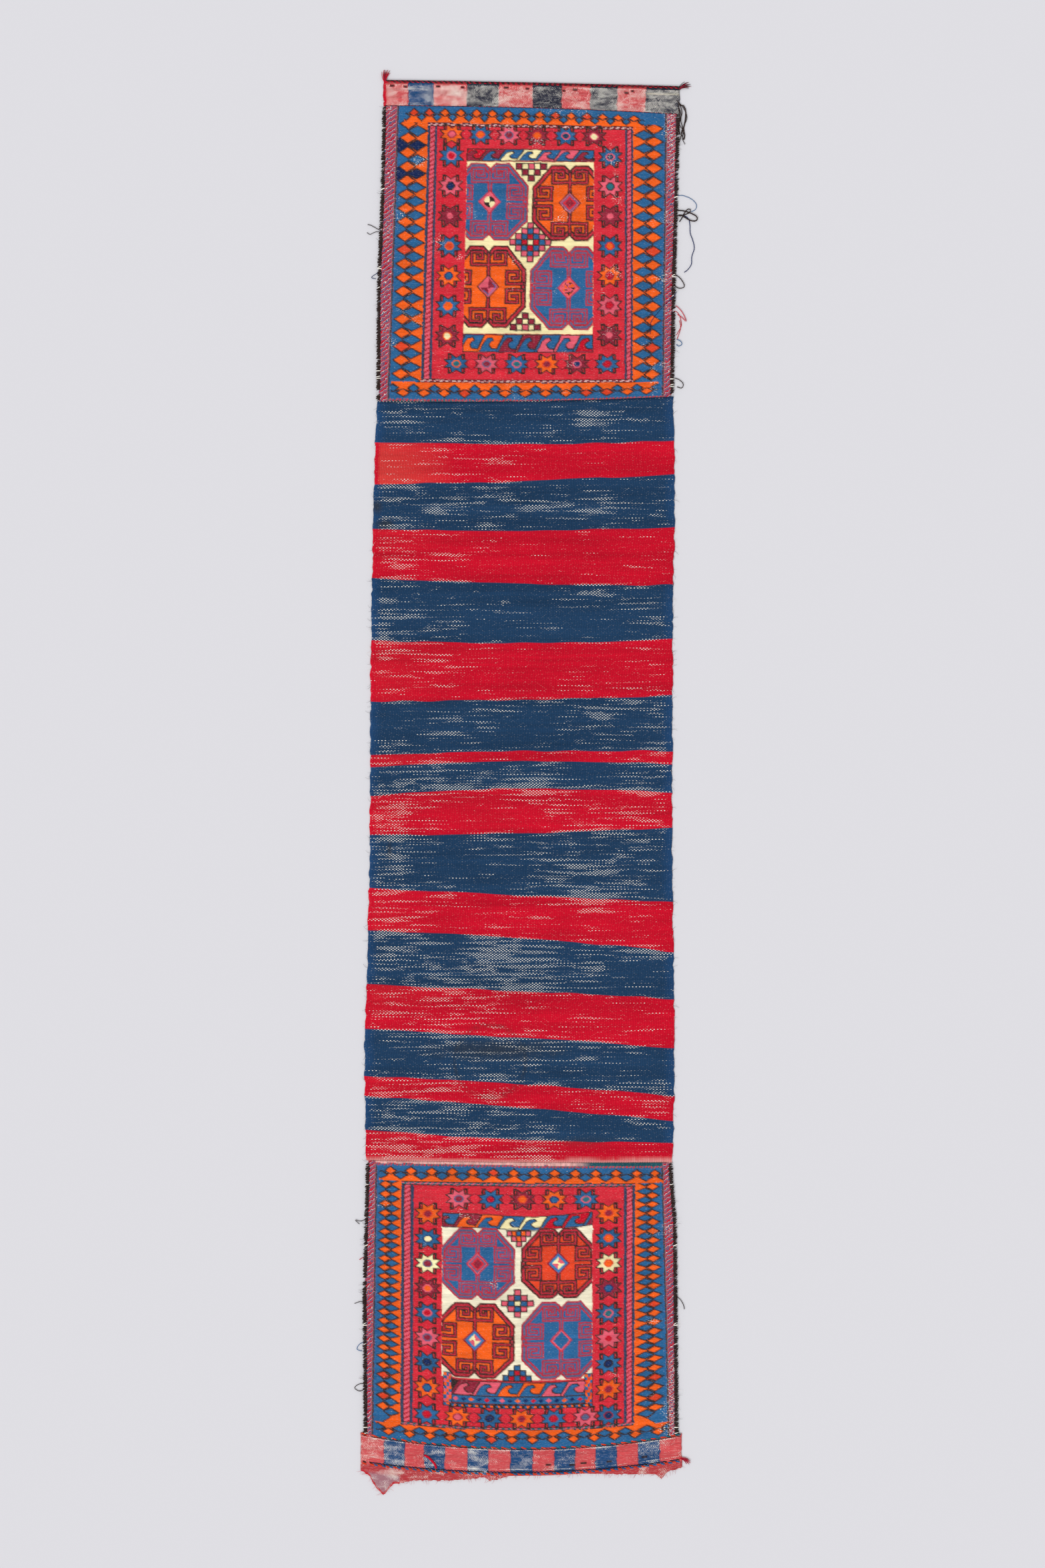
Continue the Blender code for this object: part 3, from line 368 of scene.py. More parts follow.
class BagYarns(bpy.types.PropertyGroup):
    """Colours of the dyed and undyed yarns."""

    red: colour_property("Red", "Madder red of the stripes", srgb(198, 12, 40))
    field_red: colour_property("Field red", "Red ground of the star borders", srgb(214, 42, 58))
    faded: colour_property("Faded red", "Red that has faded and worn", srgb(208, 78, 82))
    blue: colour_property("Blue", "Indigo of the stripes", srgb(30, 60, 92))
    band_blue: colour_property("Band blue", "Brighter indigo of the closure bands", srgb(34, 74, 122))
    sky: colour_property("Sky blue", "Lighter indigo of the soumak", srgb(40, 98, 148))
    navy: colour_property("Navy", "Darkest indigo", srgb(20, 42, 92))
    teal: colour_property("Teal", "Green-blue of a few figures", srgb(38, 108, 122))
    orange: colour_property("Orange", "Orange of the lozenges", srgb(244, 96, 24))
    rust: colour_property("Rust", "Deeper orange of some hearts", srgb(222, 66, 34))
    pink: colour_property("Pink", "Pink of stars and guards", srgb(228, 92, 112))
    maroon: colour_property("Maroon", "Dark red of figures and outlines", srgb(144, 34, 56))
    cream: colour_property("Cream", "Undyed wool of the field", srgb(247, 232, 176))
    dark: colour_property("Dark", "Dark brown wool of the outlines", srgb(52, 38, 36))
    slate: colour_property("Slate", "Blue-black of the upper band's dark blocks", srgb(44, 46, 62))
    grey: colour_property("Grey", "Grey-blue of cores and side lines", srgb(88, 96, 132))
    warp: colour_property("Warp", "Undyed warp where the weft has worn off", srgb(243, 238, 228))


def size_property(name, description, default, least, most):
    """A size of the weave that a user can change."""
    return bpy.props.FloatProperty(
        name=name, description=description, default=default, min=least, max=most)


class BagCloth(bpy.types.PropertyGroup):
    """Sizes of the weave, in millimetres."""

    face_cell: size_property("Face cell", "Grid cell of the soumak faces", 1.56, 1.4, 6.0)
    rib_pitch: size_property("Rib pitch", "Distance between warp ribs", 2.7, 2.0, 8.0)
    stripe_row: size_property("Stripe row", "Row length in the striped cloth", 5.6, 3.0, 30.0)
    band_cell: size_property("Band cell", "Grid cell of the closure bands", 1.25, 1.0, 6.0)
    plain_thick: size_property("Plain thickness", "Thickness of the plain weave", 2.1, 1.0, 5.0)
    rib_height: size_property("Rib height", "Height of a rib over its groove", 0.75, 0.0, 2.0)
    face_thick: size_property("Soumak thickness", "Thickness of the soumak", 3.2, 1.0, 6.0)
    wander: size_property("Wander", "How far hand-woven lines wander", 0.55, 0.0, 2.0)


class BagStage(bpy.types.PropertyGroup):
    """Camera, light and floor."""

    height: bpy.props.FloatProperty(
        name="Camera height", description="Height of the camera over the floor", default=5.0, unit="LENGTH")
    frame_height: bpy.props.FloatProperty(
        name="Framed length", description="Length of floor from the bottom to the top of the picture",
        default=2.5096, unit="LENGTH")
    centre_x: bpy.props.FloatProperty(
        name="Centre across", description="Picture centre from the bag's drawing line", default=-0.0011,
        unit="LENGTH")
    centre_d: bpy.props.FloatProperty(
        name="Centre down", description="Picture centre from the bag's upper end", default=1.1225,
        unit="LENGTH")
    floor: colour_property("Floor", "Pale floor", srgb(223, 222, 227))
    sky: bpy.props.FloatProperty(name="Sky", description="Even light from all round", default=0.74)
    sun: bpy.props.FloatProperty(name="Sun", description="Soft light from the upper left", default=1.15)


class Value:
    """A node's socket that takes part in Python arithmetic."""

    def __init__(self, nodes, socket):
        self.nodes = nodes
        self.socket = socket

    def output(self, name):
        """Another output of the same node."""
        return Value(self.nodes, self.socket.node.outputs[name])

    def math(self, operation, *others):
        """This value in one operation of the maths node, with others."""
        values = [self, *others]
        return self.nodes.node("ShaderNodeMath", {"operation": operation}, dict(enumerate(values)))

    def __add__(self, other):
        return self.math("ADD", other)

    __radd__ = __add__

    def __mul__(self, other):
        return self.math("MULTIPLY", other)

    __rmul__ = __mul__

    def __sub__(self, other):
        return self.math("SUBTRACT", other)

    def __rsub__(self, other):
        return self.nodes.node("ShaderNodeMath", {"operation": "SUBTRACT"}, {0: other, 1: self})


class Nodes:
    """Adds nodes to a tree."""

    def __init__(self, tree):
        self.tree = tree

    def node(self, kind, settings=None, values=None, output=0):
        """A node of a kind: its settings first, then the values or links of its sockets."""
        node = self.tree.nodes.new(kind)
        for key, value in (settings or {}).items():
            setattr(node, key, value)
        for key, value in (values or {}).items():
            if isinstance(value, Value):
                self.tree.links.new(value.socket, node.inputs[key])
            else:
                node.inputs[key].default_value = value
        return Value(self, node.outputs[output])


class Finish(Nodes):
    """A material made of nodes, on one principled shader."""

    def __init__(self, name, roughness=0.95):
        self.material = bpy.data.materials.new(name)
        self.material.use_nodes = True
        super().__init__(self.material.node_tree)
        self.shader = self.tree.nodes["Principled BSDF"]
        self.shader.inputs["Roughness"].default_value = roughness
        self.shader.inputs["Specular IOR Level"].default_value = 0.12

    def mix(self, factor, first, second):
        """A blend of two colours."""
        return self.node("ShaderNodeMix", {"data_type": "RGBA"}, {0: factor, 6: first, 7: second}, 2)

    def noise(self, vector, scale, detail=2.0, roughness=0.5):
        """Soft noise from 0 to 1 on coordinates times a scale for each direction."""
        vector = self.node("ShaderNodeVectorMath", {"operation": "MULTIPLY"}, {0: vector, 1: scale})
        return self.node("ShaderNodeTexNoise", {},
                         {"Vector": vector, "Scale": 1.0, "Detail": detail, "Roughness": roughness})

    def span(self, value, low, high):
        """A value's share of the way from low to high, smooth and held at both ends."""
        return self.node("ShaderNodeMapRange", {"interpolation_type": "SMOOTHSTEP"},
                         {"Value": value, "From Min": low, "From Max": high})

    def shaded(self, colour, shade):
        """A colour times a shade."""
        return self.node("ShaderNodeVectorMath", {"operation": "SCALE"}, {0: colour, 3: shade})

    def attribute(self, name, output=0):
        """An attribute of the mesh: output 0 is its colour, and 2 its value."""
        return self.node("ShaderNodeAttribute", {"attribute_name": name}, output=output)

    def weave(self):
        """The weave's own coordinates, and their two parts, across and down."""
        uv = self.node("ShaderNodeUVMap", {"uv_map": "weave"})
        parts = self.node("ShaderNodeSeparateXYZ", {}, {0: uv})
        return uv, parts, parts.output("Y")

    def ridge(self, value):
        """Rounded ridges, one for each whole step of a value."""
        return (value.math("FRACT") * math.pi).math("SINE")

    def into(self, socket, value):
        """Link a value into one of the shader's sockets."""
        self.tree.links.new(value.socket, self.shader.inputs[socket])

    def bump(self, height, strength, distance):
        """A bump that feeds the shader's normal."""
        self.into("Normal", self.node("ShaderNodeBump", {},
                                      {"Strength": strength, "Distance": distance, "Height": height}))


def opaque(colour):
    """A colour with full alpha, for a node's socket."""
    return (*tuple(colour)[:3], 1.0)


def soumak_finish(yarns):
    """Wrapped soumak stitches over the painted yarns, twisted side bands, and worn specks of warp."""
    finish = Finish("soumak_wool")
    uv, across, down = finish.weave()
    wear = finish.attribute("wear", 2)
    slant = finish.ridge(across * 440.0 + down * 310.0)
    stitch = finish.ridge(down * 700.0) * slant
    grain = finish.noise(uv, (900.0, 1500.0, 1.0), 2.0, 0.6)
    abrash = finish.noise(uv, (9.0, 160.0, 1.0), 3.0, 0.6)
    streaks = finish.noise(uv, (70.0, 520.0, 1.0), 2.0, 0.6)
    # Painted shade: the wool is lighter on the crests of the stitch rows and darker in the grooves between
    # them; the noises are the yarns' own grain, abrash and streaks
    shade = 0.36 + stitch * 0.14 + grain * 0.26 + abrash * 0.44 + streaks * 0.5
    pale = finish.span(finish.noise(uv, (260.0, 1000.0, 1.0), 2.0), 0.5, 0.8) * 0.13
    wool = finish.shaded(finish.mix(pale, finish.attribute("yarn"), opaque(yarns.warp)), shade)
    turn = (down * 128.0 + across * 92.0 + finish.noise(uv, (240.0, 200.0, 1.0), 1.0) * 1.1).math("FRACT")
    twist = opaque(yarns.faded)
    for start, yarn in ((0.16, yarns.grey), (0.36, yarns.field_red), (0.56, yarns.maroon),
                        (0.68, yarns.pink), (0.76, yarns.warp), (0.82, yarns.grey)):
        twist = finish.mix(finish.span(turn, start - 0.03, start + 0.03), twist, opaque(yarn))
    wool = finish.mix(finish.attribute("twist", 2), wool, finish.shaded(twist, 0.55 + grain * 0.7))
    patches = finish.span(finish.noise(uv, (26.0, 34.0, 1.0), 3.0, 0.6) + wear * 0.3, 0.68, 0.86)
    specks = finish.span(finish.noise(uv, (330.0, 760.0, 1.0), 1.0), 0.57, 0.66)
    fleck = finish.span(finish.noise(uv, (420.0, 700.0, 1.0), 0.0), 0.82, 0.86)
    worn = (specks * patches * 0.9).math("MAXIMUM", fleck * 0.6)
    finish.into("Base Color", finish.mix(worn, wool, opaque(yarns.warp)))
    finish.bump(stitch * 0.7 + grain * 0.5, 0.5, 0.0006)
    return finish.material


def striped_finish(yarns):
    """Weft-faced cloth: dots of pale warp show on the ribs in thin lines that wander across."""
    finish = Finish("striped_wool")
    uv, across, down = finish.weave()
    ribs = across * (1000.0 / 2.7)
    row = down * 500.0
    weft = finish.ridge(down * 900.0)
    streak = finish.noise(uv, (16.0, 330.0, 1.0), 3.0, 0.6)
    grain = finish.noise(uv, (700.0, 900.0, 1.0), 2.0, 0.6)
    # Painted shade: the wool is lighter on the crests of the ribs and weft rows and darker in the grooves
    # between them; the noises are the yarn's own streaks and grain
    shade = 0.36 + finish.ridge(ribs) * 0.38 + grain * 0.3 + streak * 0.5 + weft * 0.06
    wool = finish.shaded(finish.attribute("yarn"), shade)
    stagger = (row.math("FLOOR") * 0.5).math("FRACT")
    beside = ((ribs * 0.5 + 0.25 + stagger).math("FRACT") - 0.5).math("ABSOLUTE")
    above = (row.math("FRACT") - 0.5).math("ABSOLUTE")
    dot = finish.span(beside, 0.22, 0.13) * finish.span(above, 0.44, 0.24)
    lines = finish.noise(uv, (13.0, 240.0, 1.0), 2.0, 0.5)
    stretches = finish.noise(uv, (34.0, 52.0, 1.0), 2.0, 0.6)
    each = finish.noise(uv, (240.0, 330.0, 1.0), 0.0)
    reach = lines * 1.3 + stretches * 0.4 + each * 0.2 + finish.attribute("wear", 2) * 0.26
    faint = dot * finish.span(each, 0.5, 0.75) * 0.08
    worn = (dot * (finish.span(reach, 1.13, 1.28) * 0.95)).math("MAXIMUM", faint)
    finish.into("Base Color", finish.mix(worn, wool, opaque(yarns.warp)))
    finish.bump(weft * 0.4 + grain * 0.7 + worn * 0.6, 0.4, 0.0005)
    return finish.material


def band_finish(yarns):
    """Closure band: slanting pale dashes, crossed by others, show through the coloured weft."""
    finish = Finish("band_wool")
    uv, across, down = finish.weave()
    grain = finish.noise(uv, (800.0, 900.0, 1.0), 2.0, 0.6)
    jitter = finish.noise(uv, (160.0, 160.0, 1.0), 1.0)
    streaks = finish.noise(uv, (90.0, 420.0, 1.0), 3.0, 0.6)
    # Painted shade: the wool is lighter on the crest of each weft row and darker between rows; the noises
    # are the yarns' own grain and streaks
    shade = 0.38 + grain * 0.4 + finish.ridge(down * 640.0) * 0.26 + streaks * 0.48
    blotch = finish.span(finish.noise(uv, (130.0, 480.0, 1.0), 3.0, 0.6), 0.48, 0.72) * 0.14
    wool = finish.shaded(finish.mix(blotch, finish.attribute("yarn"), opaque(yarns.warp)), shade)
    along = across + down * 0.72 + jitter * 0.0016
    beside = across * 0.72 - down + jitter * 0.0012
    dash = finish.ridge(along * 330.0) * 0.5 + finish.ridge(beside * 560.0)
    dots = finish.noise(uv, (520.0, 620.0, 1.0), 1.0)
    clouds = finish.noise(uv, (75.0, 150.0, 1.0), 2.0, 0.6)
    reach = dash * 0.5 + dots * 0.9 + clouds * 0.6 + finish.attribute("wear", 2) * 0.55
    worn = finish.span(reach, 1.68, 1.88) * 0.93
    finish.into("Base Color", finish.mix(worn, wool, opaque(yarns.warp)))
    finish.bump(dash * 0.5 + grain * 0.4, 0.5, 0.0007)
    return finish.material


def reverse_finish(yarns):
    """The back of the soumak: loose floats of every yarn, mostly red and blue."""
    finish = Finish("soumak_reverse")
    uv, _, _ = finish.weave()
    floats = finish.noise(uv, (300.0, 55.0, 1.0), 3.0, 0.6)
    patch = finish.noise(uv, (16.0, 16.0, 1.0), 2.0, 0.5)
    wool = finish.mix(finish.span(patch, 0.46, 0.54), opaque(yarns.field_red), opaque(yarns.sky))
    wool = finish.mix(finish.span(floats, 0.55, 0.62) * 0.8, wool, opaque(yarns.orange))
    wool = finish.mix(finish.span(floats, 0.42, 0.36) * 0.8, wool, opaque(yarns.maroon))
    finish.into("Base Color", wool)
    finish.bump(floats, 0.6, 0.0015)
    return finish.material


def yarn_finish(name, colour, pale, speck):
    """Plied yarn with a little fuzz and a few paler fibres."""
    finish = Finish(name)
    place = finish.node("ShaderNodeTexCoord", output=3)
    plies = finish.noise(place, (520.0, 520.0, 520.0), 2.0, 0.6)
    tint = finish.noise(place, (70.0, 70.0, 70.0), 1.0)
    base = finish.shaded(finish.mix(finish.span(plies, 0.62, 0.72) * speck, opaque(colour), opaque(pale)),
                         0.7 + tint * 0.6)
    finish.into("Base Color", base)
    finish.bump(plies, 0.5, 0.0006)
    return finish.material


def noise2(x, y, seed):
    """Smooth noise from -1 to 1 on two arrays of coordinates."""
    table = np.random.RandomState(seed).rand(256, 256)
    x, y = np.broadcast_arrays(np.asarray(x, float), np.asarray(y, float))
    xi, yi = np.floor(x).astype(int), np.floor(y).astype(int)
    fx, fy = x - xi, y - yi
    fx, fy = fx * fx * (3 - 2 * fx), fy * fy * (3 - 2 * fy)
    a, b = table[yi % 256, xi % 256], table[yi % 256, (xi + 1) % 256]
    c, d = table[(yi + 1) % 256, xi % 256], table[(yi + 1) % 256, (xi + 1) % 256]
    return 2 * ((a * (1 - fx) + b * fx) * (1 - fy) + (c * (1 - fx) + d * fx) * fy) - 1


def closeness(distance, reach):
    """1 at a place, down to 0 where it is a reach away."""
    return np.clip(1 - distance / reach, 0, 1)


def blend(rgb, colour, share):
    """Move an array's colours towards one colour by a share of the way."""
    rgb += (np.array(colour) - rgb) * share[..., None]


def pick(test, colour, other):
    """A colour at the places that pass a test, and another at the rest."""
    return np.where(test[:, None], colour, other)


def columns_of(line, cell):
    """How many cells fit across the cloth along a cross line."""
    return int((end_x(line, 1) - end_x(line, -1)) / cell)


def level(line, x):
    """Distance from the upper end of a cross line (centre, left, right) at a place across."""
    centre, left, right = line
    u = x / HALF_WIDTH
    return centre + left * u * (u - 1) / 2 + right * u * (u + 1) / 2


UPPER_BAND_TOP = TWINING
UPPER_FACE_TOP = UPPER_BAND_TOP + UPPER_BAND
UPPER_FRAME_TOP = UPPER_FACE_TOP + UPPER_LEAD
UPPER_FACE_END = UPPER_FRAME_TOP + sum(UPPER["rows"]) + UPPER_TAIL
FADE_END = UPPER_FACE_END + STRIPES[0][1] + STRIPES[1][1] + 8
LOWER_FACE_TOP = UPPER_FACE_END + sum(stripe[1] for stripe in STRIPES)
LOWER_FRAME_TOP = LOWER_FACE_TOP + LOWER_LEAD
LOWER_FACE_END = LOWER_FRAME_TOP + sum(LOWER["rows"]) + LOWER_TAIL
LOWER_BAND_END = LOWER_FACE_END + LOWER_BAND
TWINING_END = LOWER_BAND_END + TWINING
LENGTH = TWINING_END + HEM_SHORT

TOP_LINE = (0, -4, 6)
UPPER_FACE_LINE = (UPPER_FACE_TOP, -3, 10)
UPPER_END_LINE = (UPPER_FACE_END, 0, -7.5)
LOWER_FACE_LINE = (LOWER_FACE_TOP, -3, 0)
LOWER_END_LINE = (LOWER_FACE_END, -20, -20)
LOWER_BAND_LINE = (LOWER_BAND_END, -19, -20)
TWINING_LINE = (TWINING_END, -15, -19)


def edge_x(sign, d, inset=0.0):
    """Place of a side edge at distances from the upper end."""
    table = np.array(RIGHT_EDGE if sign > 0 else LEFT_EDGE)
    return sign * (np.interp(np.asarray(d) / LENGTH, table[:, 0], table[:, 1]) - inset)


def end_x(line, sign, inset=0.0):
    """Where a cross line meets a side edge."""
    return float(edge_x(sign, level(line, sign * HALF_WIDTH), inset))


def across_line(line, shares, inset=0.0):
    """Places along a cross line at shares of the cloth's width."""
    left, right = end_x(line, -1, inset), end_x(line, 1, inset)
    return [(left + (right - left) * s, level(line, left + (right - left) * s)) for s in shares]


def drawing_shift():
    """What turns drawing coordinates into the frame's: the cloth's own corners meet its box."""
    low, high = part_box("woven_cloth")
    lines = (LOWER_END_LINE, LOWER_BAND_LINE, TWINING_LINE)
    right = max(end_x(line, 1, -LOWER_BAND_FLARE) for line in lines[1:])
    left = min(end_x(line, -1, -LOWER_BAND_FLARE) for line in lines)
    top = min(d for _, d in across_line(TOP_LINE, (0.0, *UPPER_BLOCKS, 1.0)))
    centre = ((low.x + high.x) / MM - (left + right)) / 2
    return centre, high.y / MM + top


SHIFT = drawing_shift()


def to_frame(x, d, z):
    """Metres in the frame from drawing millimetres."""
    return np.stack([(x + SHIFT[0]) * MM, (SHIFT[1] - d) * MM, z * MM], axis=-1)


def in_scene(name, data):
    """An object in the scene for a mesh, a curve, a light or a camera."""
    piece = bpy.data.objects.new(name, data)
    bpy.context.scene.collection.objects.link(piece)
    return piece


# Where the weave's own coordinates start, to the left of the centre line
WEAVE_START = 300


class Panel:
    """One length of the cloth: a grid of places between its side edges, row after row."""

    def __init__(self, stations, columns, inset=0.0, seed=1, ragged=1.0):
        stations = np.array(stations, float)
        share = np.linspace(0, 1, columns + 1)[None, :]
        ends = []
        for sign in (-1, 1):
            d = stations[:, 0] + (stations[:, 1] if sign < 0 else stations[:, 2])
            coarse = 0.9 * noise2(d / 9, 0 * d + sign, seed)
            fine = 0.5 * noise2(d / 3, 0 * d, seed + 1)
            ends.append(edge_x(sign, d, inset) + sign * ragged * (coarse + fine))
        left, right = ends
        self.width = (right - left)[:, None]
        self.x = left[:, None] + self.width * share
        self.d = level([stations[:, i][:, None] for i in range(3)], self.x)
        self.share = np.broadcast_to(share, self.x.shape).copy()
        self.side = np.minimum(self.share, 1 - self.share) * self.width
        self.across = self.x + WEAVE_START

    @property
    def shape(self):
        """Rows and columns of the grid."""
        return self.x.shape

    def noise(self, wide, high, seed):
        """Smooth noise from -1 to 1, in patches of about a width and a height."""
        return noise2(self.x / wide, self.d / high, seed)

    def rounded(self, z, reach=3.0, least=0.2):
        """Heights that go down in a curve at the side edges."""
        return z * np.sqrt(np.clip(self.side / reach, least, 1))


def rows_between(first, last, step):
    """Stations of a panel from one cross line to another."""
    count = max(int(round((last[0] - first[0]) / step)), 1)
    return [tuple(a + (b - a) * i / count for a, b in zip(first, last)) for i in range(count + 1)]


def weave_mesh(name, panel, z, rgb, values, materials):
    """A closed mesh from a panel: patterned top, thin sides, and a flat underside of long rows."""
    rows, cols = panel.shape
    top = to_frame(panel.x, panel.d, z).reshape(-1, 3)
    index = np.arange(rows * cols).reshape(rows, cols)
    rim = np.concatenate([index[0, :], index[1:, -1], index[-1, -2::-1], index[-2:0:-1, 0]])
    low = top[rim].copy()
    low[:, 2] = 0.0
    verts = np.concatenate([top, low])
    corners = [index[:-1, :-1], index[1:, :-1], index[1:, 1:], index[:-1, 1:]]
    quads = np.stack(corners, axis=-1).reshape(-1, 4)
    under = np.arange(len(rim)) + rows * cols
    ahead, under_ahead = np.roll(rim, -1), np.roll(under, -1)
    skirt = np.stack([rim, ahead, under_ahead, under], axis=-1)
    spot = {int(v): int(u) for v, u in zip(rim, under)}
    left = [spot[int(v)] for v in index[:, 0]]
    right = [spot[int(v)] for v in index[:, -1]]
    backs = [(left[j], right[j], right[j + 1], left[j + 1]) for j in range(1, rows - 2)]
    first = [spot[int(v)] for v in index[0, :]] + [right[1], left[1]]
    last = [spot[int(v)] for v in index[-1, ::-1]] + [left[-2], right[-2]]
    faces = [quads.ravel(), skirt.ravel(), np.array(backs).ravel(), first, last]
    loops = np.concatenate(faces).astype(np.int32)
    sizes = [4] * (len(quads) + len(skirt) + len(backs)) + [len(first), len(last)]
    starts = np.concatenate([[0], np.cumsum(sizes)[:-1]]).astype(np.int32)
    mesh = bpy.data.meshes.new(name)
    mesh.vertices.add(len(verts))
    mesh.vertices.foreach_set("co", verts.ravel())
    mesh.loops.add(len(loops))
    mesh.loops.foreach_set("vertex_index", loops)
    mesh.polygons.add(len(sizes))
    mesh.polygons.foreach_set("loop_start", starts)
    smooth = np.zeros(len(sizes), bool)
    smooth[:len(quads)] = True
    mesh.polygons.foreach_set("use_smooth", smooth)
    slots = np.zeros(len(sizes), np.int32)
    slots[len(quads) + len(skirt):] = len(materials) - 1
    mesh.polygons.foreach_set("material_index", slots)
    mesh.update(calc_edges=True)
    mesh.validate()
    for material in materials:
        mesh.materials.append(material)
    flat = rgb.reshape(-1, 3)
    colours = np.concatenate([flat, flat[rim]])
    colours = np.concatenate([colours, np.ones((len(colours), 1))], axis=1)
    paint = mesh.color_attributes.new("yarn", "FLOAT_COLOR", "POINT")
    paint.data.foreach_set("color", colours.ravel())
    for key, value in values.items():
        layer = mesh.attributes.new(key, "FLOAT", "POINT")
        layer.data.foreach_set("value", np.concatenate([value.ravel(), value.ravel()[rim]]))
    places = np.stack([panel.across.ravel(), panel.d.ravel()], axis=-1) * MM
    places = np.concatenate([places, places[rim]])
    mesh.uv_layers.new(name="weave")
    mesh.uv_layers["weave"].data.foreach_set("uv", places[loops].ravel())
    return in_scene(name, mesh)


def as_sheet(piece, panel):
    """Attach a panel's piece to the root, and hide the woven cloth of the part that it stands for."""
    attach(piece, "root")
    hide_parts("woven_cloth")
    wide = np.hypot(np.diff(panel.x, axis=1), np.diff(panel.d, axis=1)).mean() * (panel.shape[1] - 1)


# Further than any distance on the cloth, in millimetres
FAR = 1e9


class Painting:
    """Yarn colours and a little relief, laid over a panel by signed distances in millimetres."""

    def __init__(self, p, q, ground, cell, wander, seed):
        p, q = p.ravel(), q.ravel()
        p = p + wander * (noise2(p / 6, q / 4, seed) + 0.5 * noise2(p / 1.9, q / 1.3, seed + 1))
        q = q + wander * (noise2(p / 7, q / 5, seed + 2) + 0.4 * noise2(p / 1.7, q / 1.5, seed + 3))
        self.p, self.q, self.soft = p, q, cell * 0.75
        self.rgb = np.tile(np.array(ground, float), (p.size, 1))
        self.rise = np.zeros(p.size)

    def near(self, p0, q0, p1, q1):
        """Numbers of the grid places in a box, and their p and q."""
        where = np.flatnonzero((self.p > p0) & (self.p < p1) & (self.q > q0) & (self.q < q1))
        return where, self.p[where], self.q[where]

    def lay(self, where, distance, colour, rise=None):
        """Cover what lies inside a shape with a yarn."""
        cover = np.clip(0.5 - distance / self.soft, 0, 1)
        self.rgb[where] += (np.array(colour, float) - self.rgb[where]) * cover[:, None]
        if rise is not None:
            self.rise[where] += (rise - self.rise[where]) * cover

    def box(self, p0, q0, p1, q1, colour, rise=None):
        """A rectangle of yarn."""
        where, p, q = self.near(p0 - 2, q0 - 2, p1 + 2, q1 + 2)
        distance = np.maximum(np.maximum(p0 - p, p - p1), np.maximum(q0 - q, q - q1))
        self.lay(where, distance, colour, rise)


def polygon_distance(p, q, points):
    """Signed distance to a closed outline, negative inside."""
    points = np.array(points, float)
    best = np.full(p.shape, FAR)
    inside = np.zeros(p.shape, bool)
    for (x0, y0), (x1, y1) in zip(points, np.roll(points, -1, axis=0)):
        ex, ey = x1 - x0, y1 - y0
        t = np.clip(((p - x0) * ex + (q - y0) * ey) / max(ex * ex + ey * ey, 1e-9), 0, 1)
        best = np.minimum(best, np.hypot(p - x0 - t * ex, q - y0 - t * ey))
        crosses = ((y0 > q) != (y1 > q)) & (p < (q - y0) * ex / (ey if abs(ey) > 1e-9 else 1e-9) + x0)
        inside ^= crosses
    return np.where(inside, -best, best)


def route_distance(p, q, points):
    """Distance to a route of upright and level runs, with square corners."""
    best = np.full(p.shape, FAR)
    for (x0, y0), (x1, y1) in zip(points, points[1:]):
        dx = np.maximum(np.maximum(min(x0, x1) - p, p - max(x0, x1)), 0)
        dy = np.maximum(np.maximum(min(y0, y1) - q, q - max(y0, y1)), 0)
        best = np.minimum(best, np.maximum(dx, dy))
    return best


def diamond_distance(p, q, wide, high):
    """Signed distance to a diamond round the origin."""
    return (np.abs(p) / wide + np.abs(q) / high - 1) * wide * high / math.hypot(wide, high)


